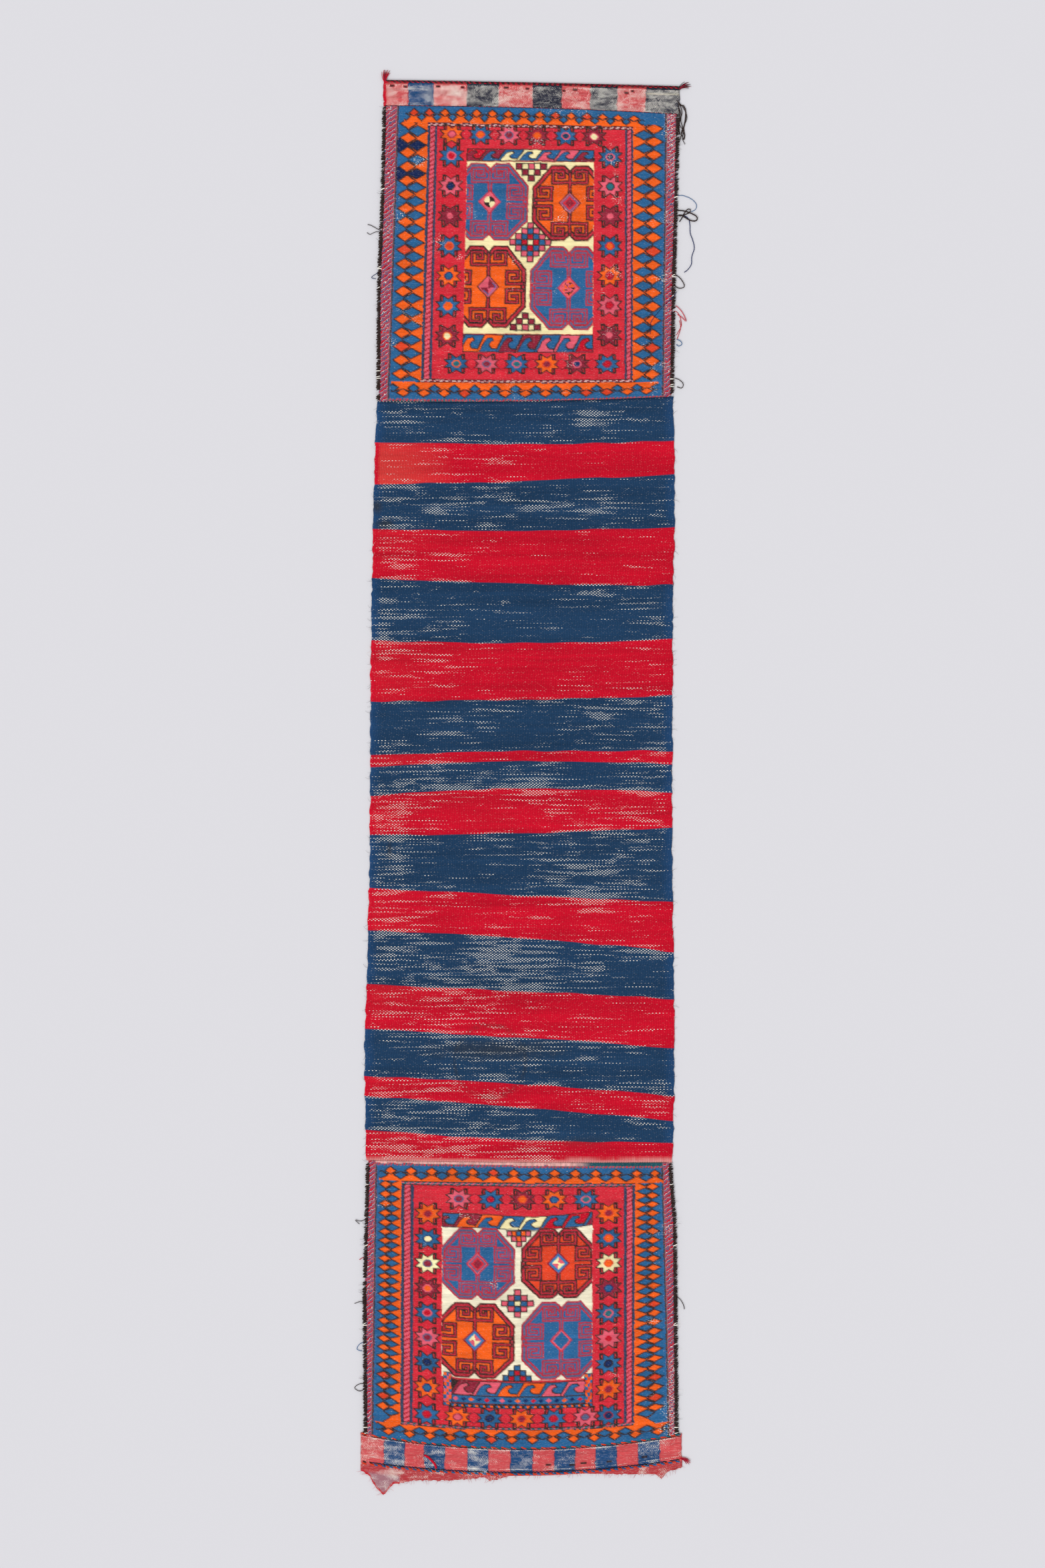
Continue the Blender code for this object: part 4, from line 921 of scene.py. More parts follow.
class FaceDrawing:
    """Draws one soumak face on a panel."""

    def __init__(self, sizes, frame_top, panel, yarns, cell, wander, seed):
        self.sizes = sizes
        self.yarns = {name: np.array(getattr(yarns, name)) for name in BagYarns.__annotations__}
        self.across = np.concatenate([[0], np.cumsum(sizes["columns"])])
        self.along = np.concatenate([[0], np.cumsum(sizes["rows"])])
        self.width, self.length = self.across[-1], self.along[-1]
        p, q = self.straighten(panel.x, panel.d, frame_top)
        self.paint = Painting(p, q, self.yarns["sky"], cell, wander, seed)
        self.twist = np.zeros(p.size)
        self.random = np.random.RandomState(seed)

    def straighten(self, x, d, frame_top):
        """The face's own p and q at places of the skewed cloth."""
        tilt = np.array(self.sizes["tilt"])
        u = x / HALF_WIDTH
        q = d - frame_top
        for _ in range(4):
            left = np.interp(q, self.along, tilt[:, 0])
            right = np.interp(q, self.along, tilt[:, 1])
            q = d - frame_top - left * u * (u - 1) / 2 - right * u * (u + 1) / 2
        p = x - self.sizes["left"]
        for _ in range(4):
            lean = np.interp(p, self.across, self.sizes["lean"])
            p = x - self.sizes["left"] - lean * (1 - 2 * q / self.length)
        return p, q

    def tone(self, name, spread=0.12):
        """A yarn with the small change of shade from one dyeing to the next."""
        return self.yarns[name] * (1 + spread * (self.random.rand() - 0.5) * 2)

    def side_bands(self):
        """Twisted stripes outside the frame, past a dark line, and small stitches beyond its ends."""
        paint, yarns = self.paint, self.yarns
        for outward in (-paint.p, paint.p - self.width):
            where = np.flatnonzero(outward > 0)
            out = outward[where]
            self.twist[where] = np.clip((out - 3.0) / paint.soft, 0, 1)
            paint.rgb[where] = yarns["faded"]
            paint.rise[where] = 0.3
            paint.lay(where, np.abs(out - 1.2) - 1.2, yarns["dark"] * 1.3)
            paint.lay(where, np.abs(out - 2.9) - 0.5, yarns["teal"])
        past = np.stack([-paint.q, paint.q - self.length])[self.sizes["stripes_at"]]
        where = np.flatnonzero((past > 0) & (paint.p > -2) & (paint.p < self.width + 2))
        p, q, past = paint.p[where], paint.q[where], past[where]
        dash = np.floor((p + 0.8 * q) / 2.7).astype(int) % 4
        colour = np.array([yarns["field_red"], yarns["teal"], yarns["faded"], yarns["grey"]])[dash]
        fuzz = 1 + 0.3 * noise2(p / 2, q / 5, 93)[:, None]
        bare = np.clip((self.sizes["worn_to"] - p) / 30, 0, 1)[:, None]
        pale = (yarns["faded"] * 0.6 + yarns["warp"] * 0.4) * fuzz
        lead = yarns["teal"] * 0.55 * (1 - bare) + pale * bare
        paint.rgb[where] = pick(past < 3.4, colour * 0.85, lead)

    def grounds(self):
        """The nested grounds: blue frame, red star border, cream field."""
        across, along, yarns, paint = self.across, self.along, self.yarns, self.paint
        paint.box(0, 0, self.width, self.length, yarns["sky"])
        paint.box(across[1], along[1], across[-2], along[-2], yarns["dark"])
        paint.box(across[2], along[2], across[-3], along[-3], yarns["field_red"])
        where, p, q = paint.near(across[2], along[2], across[-3], along[-3])
        tint = 0.5 + 0.5 * noise2(p / 300 + 7, q / 13, 61)
        mix = np.clip(tint * 1.4 - 0.5, 0, 1)[:, None] * 0.5
        paint.rgb[where] = paint.rgb[where] * (1 - mix) + yarns["red"] * mix
        for start, end in (across[1:3], across[-3:-1]):
            self.barber(start, end)
        for start, end in (along[1:3], along[-3:-1]):
            self.dashes(start, end)
        other, share = self.sizes["field"]
        self.field = yarns["cream"] + (yarns[other] - yarns["cream"]) * share
        paint.box(across[3], along[3], across[4], along[4], self.field)

    def barber(self, start, end):
        """An upright guard: slanting pink stripes between two dark blue lines."""
        paint, yarns = self.paint, self.yarns
        where, p, q = paint.near(start, self.along[1], end, self.along[-2])
        paint.lay(where, np.maximum(start - p, p - end), yarns["blue"] * 0.55 + yarns["grey"] * 0.25)
        width = end - start
        core = np.maximum(start + width * 0.27 - p, p - end + width * 0.25)
        paint.lay(where, core - 0.9, yarns["dark"])
        slant = np.mod(q + 0.55 * p, 7.2)
        pink = pick(slant < 4.3, yarns["pink"], yarns["field_red"] * 0.8)
        pink = pick(slant > 6.2, yarns["maroon"], pink)
        paint.lay(where, core, pink, 0.35)

    def dashes(self, start, end):
        """A level guard: dashes in two yarns between two dark lines."""
        paint, yarns = self.paint, self.yarns
        where, p, q = paint.near(self.across[1], start, self.across[-2], end)
        paint.lay(where, np.abs(q - (start + end) / 2) - (end - start) / 2, yarns["dark"])
        dash = np.mod(p + 2 * q, 9.5)
        first, second = (yarns[name] for name in self.sizes["guard"])
        colour = pick(dash < 4.6, first * 0.55 + yarns["pink"] * 0.45, second)
        paint.lay(where, np.abs(q - (start + end) / 2) - (end - start) * 0.22, colour, 0.2)

    def reciprocal(self, p, q, where, axis, first, pitch, count, orange, blue, swing, deep=()):
        """A row of orange diamonds on blue beside blue ones on orange, outlined in dark.

        Here q runs along the row, and p across it towards the orange ground. The line between the
        grounds swings so that its points touch the diamonds of the other colour.
        """
        paint, yarns = self.paint, self.yarns
        step = (q - first) / pitch
        tip = 4 * np.abs(np.mod(step, 1) - 0.5) - 1
        ground = axis + swing * tip - p
        turn = np.clip(np.round(step), 0, count - 1)
        own = diamond_distance(p - axis - orange[0], q - first - turn * pitch, *orange[1:])
        shape = np.minimum(ground, own)
        gap = np.clip(np.floor(step), -1, count - 1)
        other = diamond_distance(p - axis - blue[0], q - first - (gap + 0.5) * pitch, *blue[1:])
        shape = np.maximum(shape, -other)
        random = np.random.RandomState(count)
        shades = 1 + 0.16 * (random.rand(count + 2) - 0.5)
        tone = yarns["orange"] * shades[turn.astype(int)][:, None]
        rust = random.rand(count + 2) < 0.15
        tone = pick(rust[turn.astype(int)] & (p < axis + swing), yarns["rust"], tone)
        paint.rgb[where] = pick(np.isin(gap, deep), yarns["navy"] * 0.8, paint.rgb[where])
        paint.lay(where, shape, tone, 0.15)
        paint.lay(where, np.abs(shape) - OUTLINE * 0.6, yarns["dark"], 0.35)

    def lozenge_columns(self):
        """The lozenge borders at the left and right."""
        pitch, first, count, wide, high = self.sizes["lozenges"]
        for outer, inner in ((0.0, self.across[1]), (self.width, self.across[-2])):
            sign = 1 if inner > outer else -1
            low, high_end = sorted((outer, inner))
            where, p, q = self.paint.near(low, self.along[1] * 0.8, high_end, self.along[-2] + 4)
            p = (p - outer) * sign
            axis = abs(inner - outer) * LOZENGE_AXIS
            half = wide * axis / 20.0
            self.reciprocal(p, q, where, axis, first, pitch, count,
                            (-half * 0.53, half, high), (half * 0.59, half * 1.16, high * 0.97), half * 0.5,
                            self.sizes["deep"] if sign > 0 else ())

    def lozenge_rows(self):
        """The lozenge borders at the upper and lower ends."""
        for key, outer, inner in (("top_row", 0.0, self.along[1]), ("end_row", self.length, self.along[-2])):
            first, pitch, count = self.sizes[key]
            sign = 1 if inner > outer else -1
            low, end = sorted((outer, inner))
            left, right = first - pitch * 0.6, first + pitch * (count - 0.4)
            where, along, across = self.paint.near(left, low, right, end)
            across = (across - outer) * sign
            heads = [pitch * share for share in self.sizes["row_heads"]]
            axis = abs(inner - outer) * LOZENGE_AXIS
            self.reciprocal(across, along, where, axis, first, pitch, count,
                            (-3.4, 6.4, heads[0]), (3.4, 6.2, heads[1]), 2.2)

    def star(self, p0, q0, size, ground, heart, rim):
        """An eight-pointed star with dark brackets and a small heart."""
        paint, yarns = self.paint, self.yarns
        where, p, q = paint.near(p0 - STAR_REACH, q0 - STAR_REACH, p0 + STAR_REACH, q0 + STAR_REACH)
        p, q = (p - p0) / size[0], (q - q0) / size[1]
        paint.lay(where, polygon_distance(-np.abs(p), -np.abs(q), STAR_BRACKET), yarns["dark"], 0.4)
        points = []
        for i in range(16):
            turn = math.pi * (i + 1) / 8
            radius = STAR_RADIUS * (1 if i % 2 == 0 else STAR_WAIST)
            points.append((radius * math.cos(turn) * 1.04, radius * math.sin(turn)))
        shape = polygon_distance(p, q, points)
        paint.lay(where, shape, self.tone(ground), 0.3)
        paint.lay(where, np.abs(shape) - OUTLINE * 0.52, yarns["dark"], 0.4)
        core = np.maximum(np.abs(p) * 0.75 + np.abs(q) * 0.62, np.maximum(np.abs(p), np.abs(q)) * 0.92)
        paint.lay(where, core - 6.4, yarns[rim], 0.45)
        paint.lay(where, core - 4.6, yarns[heart], 0.6)

    def stars(self):
        """The border of stars on all four sides, with red hexagons between the stars of the rows."""
        paint, yarns = self.paint, self.yarns
        wide, high, row_high = self.sizes["star_size"]
        for p0, q0, step_p, step_q, each in self.sizes["stars"]:
            size = (wide, row_high if step_p else high)
            for i, star in enumerate(each):
                self.star(p0 + step_p * i, q0 + step_q * i, size, *star)
            for i in range(len(each) - 1 if step_p else 0):
                p1, q1 = p0 + step_p * (i + 0.5), q0 + step_q * (i + 0.5)
                where, p, q = paint.near(p1 - 12, q1 - 12, p1 + 12, q1 + 12)
                p, q = np.abs(p - p1), np.abs(q - q1)
                across, down = BETWEEN_STARS
                shape = np.maximum(p - across, (p / across * 0.5 + q / down - 1) * down)
                paint.lay(where, np.abs(shape) - OUTLINE * 0.35, yarns["maroon"] * 0.7)

    def hook_band(self, p0, q0, p1, q1, sag, first, count, colours):
        """A running-dog band of slanting bars; the hook inside each grows out of the next one.

        It sags by the given amounts at even places across, and the cream field meets it.
        """
        paint, yarns = self.paint, self.yarns
        where, p, q = paint.near(p0 - 2, q0 - 4, p1 + 2, q1 + 16)
        q = q - np.interp(p, np.linspace(p0, p1, len(sag)), sag)
        high = q1 - q0
        edge = np.maximum(np.maximum(q0 - q, q - q1), np.maximum(p0 - p, p - p1))
        if max(sag) > 0:
            paint.lay(where, np.maximum(q1 - q, q - q1 - 9), self.field)
            paint.lay(where, np.maximum(q - q0, q0 - 4 - q), yarns["field_red"])
        paint.lay(where, edge - 1.6, yarns["dark"], 0.3)
        step = (p1 - p0) / count
        slanted = p + ((q - q0) / high - 0.5) * HOOK_SLANT - p0 - (first - 1) * step
        cell = np.clip(np.floor(slanted / step), 0, len(colours) - 2).astype(int)
        tones = np.array([yarns[c] for c in colours])
        paint.lay(where, edge, tones[cell], 0.2)
        within = slanted - cell * step
        line = np.minimum(within, step - within) * 0.82
        paint.lay(where, np.maximum(line - OUTLINE * 0.6, edge), yarns["dark"])
        outline = [(a * step, b * high) for a, b in HOOK]
        shape = polygon_distance(within, q - q0, outline)
        paint.lay(where, np.maximum(shape - OUTLINE * 0.6, edge), yarns["dark"], 0.35)
        paint.lay(where, np.maximum(shape + OUTLINE * 0.35, edge), tones[cell + 1], 0.3)

    def medallion(self, ground, p0, q0, wide, high, heart):
        """A double-lobed medallion: frame, stem, squared spirals and heart."""
        paint, yarns = self.paint, self.yarns
        left, right = max(p0 - wide - 3, self.across[3]), min(p0 + wide + 3, self.across[4])
        where, p, q = paint.near(left, q0 - high - 3, right, q0 + high + 3)
        p, q = p - p0, q - q0
        if ground == "sky":
            line, core = yarns["maroon"] * 0.35 + yarns["field_red"] * 0.6, yarns["grey"]
        else:
            line, core = yarns["dark"], yarns["maroon"] * 0.4 + yarns["field_red"] * 0.6
        half = [(a * wide, b * high) for a, b in MEDALLION]
        outline = half + [(-a, b) for a, b in half[-2:0:-1]]
        shape = polygon_distance(p, q, outline)
        paint.lay(where, shape, self.tone(ground, 0.05), 0.1)
        tint = noise2(p / 90 + 3, q / 5, 77)[:, None]
        inside = np.clip(-shape, 0, 1)[:, None]
        paint.rgb[where] *= 1 + 0.1 * tint * inside
        frame_line = np.abs(shape + FRAME_BAND / 2)
        paint.lay(where, frame_line - FRAME_BAND / 2, line, 0.35)
        paint.lay(where, frame_line - FRAME_CORE / 2, core, 0.45)
        stretch = high / MEDALLION_HIGH
        routes = []
        for flip in (1, -1):
            routes.append([(a, flip * b * stretch) for a, b in STEM_SPIRAL])
            routes.append([(a * wide / MEDALLION_WIDE, flip * b) for a, b in SIDE_SPIRAL])
        routes.append([(0, -high * 0.87), (0, -HEART_HIGH)])
        routes.append([(0, HEART_HIGH), (0, high * 0.87)])
        nearest = np.full(p.shape, FAR)
        for route in routes:
            nearest = np.minimum(nearest, route_distance(np.abs(p), q, route))
        nearest = np.maximum(nearest, shape + FRAME_BAND * 0.7)
        paint.lay(where, nearest - SPIRAL_BAND / 2, line, 0.35)
        paint.lay(where, nearest - SPIRAL_CORE / 2, core, 0.45)
        self.heart(where, p, q, heart, line)

    def heart(self, where, p, q, kind, line):
        """The diamond at a medallion's middle."""
        paint, yarns = self.paint, self.yarns
        shape = diamond_distance(p, q, HEART_WIDE, HEART_HIGH)
        paint.lay(where, shape, line, 0.4)
        paint.lay(where, shape + 1.6, yarns["pink"], 0.5)
        if kind == "quartered":
            quarter = pick((p > 0) != (q > 0), yarns["dark"], yarns["cream"])
            paint.lay(where, np.hypot(p, q) - 8.9, quarter, 0.6)
        elif kind == "ringed":
            paint.lay(where, shape + 3.0, yarns["grey"], 0.5)
            paint.lay(where, shape + 5.0, yarns["field_red"], 0.55)
            paint.lay(where, shape + 8.0, yarns["maroon"], 0.6)
        elif kind == "window":
            quarter = pick((p > 0) != (q > 0), yarns["pink"], yarns["cream"])
            paint.lay(where, shape, yarns["maroon"], 0.4)
            paint.lay(where, shape + 2.2, yarns["sky"] * 1.5, 0.5)
            paint.lay(where, shape + 6.0, quarter, 0.6)
        elif kind == "plain":
            paint.lay(where, shape + 3.6, yarns["sky"], 0.5)
        elif kind == "patched":
            quarter = pick((p > 0) != (q > 2), yarns["maroon"], yarns["pink"])
            paint.lay(where, shape + 3.0, quarter, 0.5)
            paint.lay(where, np.abs(shape + 4.2) - 0.6 + np.where(p + q > 0, 0, 9), yarns["sky"] * 1.4)
        else:
            speck = noise2(p / 2.6, q / 2.6, 91)
            flecks = pick(speck > 0.15, yarns["orange"], yarns["pink"])
            flecks = pick(speck < -0.35, yarns["dark"], flecks)
            paint.lay(where, shape + 4.0, flecks, 0.5)

    def checks(self, p0, q0, size, rows, cycle):
        """A stepped figure of small checks with dark lines between, in diagonal rings of colour."""
        paint, yarns = self.paint, self.yarns
        wide, high = size
        middle = rows.index(max(rows))
        cells = [(i - (count - 1) / 2, j) for j, count in enumerate(rows) for i in range(count)]
        for grown, rise in ((OUTLINE * 0.6, 0.3), (-OUTLINE * 0.6, 0.5)):
            a, b = wide / 2 + grown, high / 2 + grown
            for i, j in cells:
                p1, q1 = p0 + i * wide, q0 + (j - len(rows) / 2 + 0.5) * high
                ring = int(abs(i) + abs(j - middle)) % len(cycle)
                colour = yarns["dark"] if grown > 0 else yarns[cycle[ring]]
                paint.box(p1 - a, q1 - b, p1 + a, q1 + b, colour, rise)

    def ribbon(self, p0, q0, p1, q1, upright, cycle):
        """A narrow blue ribbon of small diamonds, or an upright one of checks."""
        paint, yarns = self.paint, self.yarns
        paint.box(p0 - 1.4, q0 - 1.4, p1 + 1.4, q1 + 1.4, yarns["dark"], 0.3)
        paint.box(p0, q0, p1, q1, yarns["sky"], 0.2)
        where, p, q = paint.near(p0, q0, p1, q1)
        tones = np.array([yarns[name] for name in cycle])
        if upright:
            wide, high = RIBBON_CHECK
            tile = (np.floor((q - q0) / high) + np.floor((p - p0) / wide)).astype(int) % len(cycle)
            paint.rgb[where] = tones[tile]
        else:
            tile = np.floor((p - p0) / RIBBON_STEP)
            shape = diamond_distance(p - p0 - (tile + 0.5) * RIBBON_STEP, q - (q0 + q1) / 2, 4.6, 3.4)
            paint.lay(where, shape, tones[tile.astype(int) % len(cycle)], 0.4)

    def draw(self):
        """The whole face, from the sides inwards."""
        self.side_bands()
        self.grounds()
        self.lozenge_columns()
        self.lozenge_rows()
        for band in self.sizes["hooks"]:
            self.hook_band(*band)
        for medallion in self.sizes["medallions"]:
            self.medallion(*medallion)
        for figure in self.sizes["checks"]:
            self.checks(*figure)
        for ribbon in self.sizes["ribbons"]:
            self.ribbon(*ribbon)
        self.stars()
        return self


def weave_face(name, sizes, frame_top, first, last, seed):
    """A soumak face as a closed sheet, with its figures a little raised."""
    scene = bpy.context.scene
    cloth, yarns = scene.bag_cloth, scene.bag_yarns
    columns = columns_of(first, cloth.face_cell)
    panel = Panel(rows_between(first, last, cloth.face_cell), columns, WHIPPING_WIDTH * 0.6, seed=seed)
    face = FaceDrawing(sizes, frame_top, panel, yarns, cloth.face_cell, cloth.wander, seed)
    paint = face.draw().paint
    rise = paint.rise.reshape(panel.shape)
    swell = 0.22 * panel.noise(25, 25, seed + 5) + 0.1 * panel.noise(3, 2.2, seed + 6)
    z = panel.rounded(cloth.face_thick + rise * 0.8 + swell, 4.0, 0.12)
    shade = 1 + 0.1 * panel.noise(45, 2.6, seed + 8) + 0.08 * panel.noise(12, 9, seed + 9)
    rgb = np.clip(paint.rgb.reshape(*panel.shape, 3) * shade[..., None], 0, 1)
    wear = sizes["worn"] + 0.35 * panel.noise(70, 55, seed + 7) + 0.35 * closeness(panel.side, 60)
    for x, q, wide, high, strength in sizes["bare"]:
        wear += strength * np.exp(-((panel.x - x) / wide) ** 2 - ((panel.d - frame_top - q) / high) ** 2)
    values = {"wear": np.clip(wear, 0, 2), "twist": face.twist.reshape(panel.shape)}
    piece = weave_mesh(name, panel, z, rgb, values, [finish_of("soumak"), finish_of("reverse")])
    as_sheet(piece, panel)


WEAVE_FINISHES = {
    "soumak": soumak_finish, "striped": striped_finish, "band": band_finish, "reverse": reverse_finish,
}

# Finish of each loose yarn: its name, its colour, the colour of its paler fibres and how much they show
YARN_FINISHES = {
    "dark": ("dark_yarn", "dark", "warp", 0.25),
    "pale": ("pale_yarn", "warp", "faded", 0.5),
    "red": ("red_yarn", "red", "pink", 0.4),
    "maroon": ("maroon_yarn", "maroon", "field_red", 0.5),
    "navy": ("blue_black_yarn", "navy", "dark", 0.6),
    "sky": ("blue_yarn", "sky", "warp", 0.2),
    "teal": ("teal_yarn", "teal", "dark", 0.4),
    "orange": ("orange_yarn", "rust", "pink", 0.4),
}

MADE = {}


def finish_of(key):
    """A material, made when it is first needed."""
    if key not in MADE:
        yarns = bpy.context.scene.bag_yarns
        if key in WEAVE_FINISHES:
            MADE[key] = WEAVE_FINISHES[key](yarns)
        else:
            name, colour, pale, speck = YARN_FINISHES[key]
            MADE[key] = yarn_finish(name, getattr(yarns, colour), getattr(yarns, pale), speck)
    return MADE[key]


class BAG_OT_upper_face(bpy.types.Operator):
    """Weave the upper soumak face"""

    bl_idname = "bag.upper_face"
    bl_label = "Upper Soumak Face"

    def execute(self, context):
        weave_face("soumak_face_upper", UPPER, UPPER_FRAME_TOP, UPPER_FACE_LINE, UPPER_END_LINE, 11)
        return {"FINISHED"}


class BAG_OT_lower_face(bpy.types.Operator):
    """Weave the lower soumak face"""

    bl_idname = "bag.lower_face"
    bl_label = "Lower Soumak Face"

    def execute(self, context):
        weave_face("soumak_face_lower", LOWER, LOWER_FRAME_TOP, LOWER_FACE_LINE, LOWER_END_LINE, 31)
        return {"FINISHED"}


def stripe_stations(row):
    """Rows of the striped cloth from one face to the other, and each row's yarn."""
    line = UPPER_END_LINE
    stations, picks = [], []
    for yarn, length, left, right in STRIPES:
        end = (line[0] + length, left, right)
        count = max(int(length / row), 2)
        tight = 0.7 / length
        for share in (tight, *[(j + 1) / count for j in range(count - 1)], 1 - tight):
            stations.append(tuple(a + (b - a) * share for a, b in zip(line, end)))
            picks.append(yarn)
        line = end
    stations[0], stations[-1] = UPPER_END_LINE, LOWER_FACE_LINE
    return stations, picks


def stained(panel, rgb):
    """The striped cloth's colours under its stains and dirt."""
    for x, d, wide, high, line, strength in STAINS:
        reach = np.hypot((panel.x - x) / wide, (panel.d - d) / high)
        if line:
            cover = closeness(np.abs(reach - 1) * wide, line)
            cover *= 0.6 + 0.4 * panel.noise(20, 20, 71)
        else:
            cover = np.clip(1.2 - reach + 0.3 * panel.noise(12, 8, 72), 0, 1)
        rgb = rgb * (1 - strength * cover[..., None]) + 0.03 * strength * cover[..., None]
    return rgb


class BAG_OT_stripes(bpy.types.Operator):
    """Weave the striped cloth between the faces"""

    bl_idname = "bag.stripes"
    bl_label = "Striped Cloth"

    def execute(self, context):
        cloth, yarns = context.scene.bag_cloth, context.scene.bag_yarns
        stations, picks = stripe_stations(cloth.stripe_row)
        ribs = columns_of(UPPER_END_LINE, cloth.rib_pitch)
        panel = Panel(stations, 2 * ribs, seed=21, ragged=1.4)
        from_ends = np.minimum(panel.d - panel.d[:1], panel.d[-1:] - panel.d)
        panel.d += 1.5 * panel.noise(38, 70, 29) * np.clip(from_ends / 25, 0, 1)
        panel.across = panel.share * ribs * cloth.rib_pitch
        is_red = np.array([yarn == "red" for yarn in picks])[:, None]
        rgb = np.where(is_red[..., None], np.array(yarns.red), np.array(yarns.blue))
        rgb = np.broadcast_to(rgb, (*panel.shape, 3)).copy()
        faded = 0.5 + 0.6 * noise2(panel.x / 200 + 3, panel.d / 60, 23) - panel.share * 2.0
        faded = np.clip(faded, 0, 1) * np.clip((panel.side - 4) / 5, 0, 1)
        faded = faded * np.where(is_red, np.where(panel.d < FADE_END, 0.58, 0.08), 0)
        blend(rgb, np.array(yarns.faded) * 0.68 + np.array(yarns.orange) * 0.32, faded)
        bright = np.clip(0.6 - panel.side / 30, 0, 0.6) * np.where(is_red, 0, 1)
        blend(rgb, yarns.band_blue, bright)
        abrash = 1 + 0.13 * panel.noise(400, 7, 24) + 0.07 * panel.noise(60, 18, 25)
        rgb = stained(panel, np.clip(rgb * abrash[..., None], 0, 1))
        last = LOWER_FACE_LINE[0] - panel.d
        ragged = 2.5 * panel.noise(45, 30, 30) + 0.9 * panel.noise(2.5, 9, 31)
        worn_end = np.clip(1.6 - np.abs(last + ragged) / 4.5, 0, 1)
        blend(rgb, np.array(yarns.faded) * 0.6 + np.array(yarns.warp) * 0.4, worn_end * 0.8)
        turns = np.flatnonzero(np.diff(is_red[:, 0].astype(int))) + 0.5
        rows_away = np.abs(np.arange(len(picks))[:, None] - turns[None]).min(axis=1)
        from_turn = rows_away[:, None] * cloth.stripe_row
        wear = 0.33 + 0.5 * panel.noise(110, 45, 26) - 0.8 * worn_end
        wear += closeness(from_turn, 7) * (0.5 + 0.5 * panel.noise(80, 30, 32))
        wear += 0.2 * (0.55 - panel.share) - np.where(is_red, 0.12, 0) - 0.6 * closeness(panel.side, 14)
        wear += 0.3 * np.clip((panel.d - 950) / 250, 0, 1)
        z = cloth.plain_thick + 0.2 * panel.noise(40, 40, 27)
        z = z + cloth.rib_height * (np.arange(panel.shape[1]) % 2)[None, :]
        z = panel.rounded(z + 0.12 * panel.noise(2, 6, 28))
        values = {"wear": np.clip(wear, 0, 2)}
        piece = weave_mesh("striped_cloth", panel, z, rgb, values, [finish_of("striped")])
        as_sheet(piece, panel)
        return {"FINISHED"}


def band_blocks(panel, blocks, names, seed):
    """A closure band's colours, block by block, how worn each place is, and how near each place is to the
    slit between two blocks, where a shadow is painted.
    """
    yarns = bpy.context.scene.bag_yarns
    edges = np.array([*blocks, 1.01])
    drift = 0.0022 * noise2(panel.share * 90, panel.d / 6, seed)
    block = np.searchsorted(edges, np.clip(panel.share + drift, 0, 1))
    tones = np.array([getattr(yarns, names[i % len(names)]) for i in range(len(edges))])
    rgb = tones[block] * (1 + 0.14 * panel.noise(40, 3, seed + 1))[..., None]
    worn = np.random.RandomState(seed).rand(len(edges))[block]
    starts = np.array([0.0, *blocks])[block]
    # Distance to the slit between two blocks; its closeness darkens the wool as a painted shadow in the slit
    seam = np.minimum(panel.share - starts, edges[block] - panel.share) * panel.width
    return rgb, worn, closeness(seam, 1.2)


def stitched(panel, rgb, wear, down, stitches):
    """Dark repair stitches laid over a band's colours."""
    for share, depth, length in stitches:
        away = np.abs(panel.share - share) * panel.width - length / 2
        cover = np.clip(0.8 - np.maximum(away, np.abs(down - depth) - 1.2), 0, 1)
        blend(rgb, bpy.context.scene.bag_yarns.dark, cover)
        wear -= 3 * cover


def weave_band(name, panel, z, rgb, wear):
    """A closure band as a closed sheet, from its heights, colours and wear."""
    rgb = np.clip(rgb, 0, 1)
    piece = weave_mesh(name, panel, panel.rounded(z), rgb, {"wear": wear}, [finish_of("band")])
    as_sheet(piece, panel)


class BAG_OT_upper_band(bpy.types.Operator):
    """Weave the upper closure band with its coloured blocks"""

    bl_idname = "bag.upper_band"
    bl_label = "Upper Closure Band"

    def execute(self, context):
        cloth, yarns = context.scene.bag_cloth, context.scene.bag_yarns
        columns = columns_of(TOP_LINE, cloth.band_cell)
        panel = Panel(rows_between(TOP_LINE, UPPER_FACE_LINE, cloth.band_cell), columns, seed=41)
        names = ["faded", "band_blue"] + ["faded", "slate"] * 4
        rgb, worn, seam = band_blocks(panel, UPPER_BLOCKS, names, 42)
        down = panel.d - level(TOP_LINE, panel.x)
        # Painted shadow: the wool is darkened along the slits between blocks; the band's top 4.8 mm is
        # darkened as well
        rgb *= 1 - np.maximum(0.35 * seam, 0.7 * np.clip((4.8 - down) / 1.2, 0, 1))[..., None]
        wear = 0.5 + 0.3 * worn + 0.25 * panel.noise(14, 9, 44)
        block = np.searchsorted(UPPER_BLOCKS, np.clip(panel.share, 0, 1))
        wear -= 0.15 * (block == 1)
        wear += 0.12 * (block % 2 == 0)
        wear -= 1.4 * closeness(down - 4.5, 2)
        selvedge = np.clip(5 - (panel.share * panel.width), 0, 1)
        blend(rgb, yarns.red, selvedge)
        wear -= 3 * selvedge
        line = np.clip(0.9 - np.maximum(np.abs(down - 13), 199 - panel.x), 0, 1)
        blend(rgb, yarns.cream, line)
        stitched(panel, rgb, wear, down, UPPER_STITCHES)
        z = 2.3 + 0.35 * panel.noise(1.6, 2.4, 45) + 0.2 * panel.noise(18, 12, 46)
        weave_band("closure_band_upper", panel, z, rgb, wear)
        return {"FINISHED"}


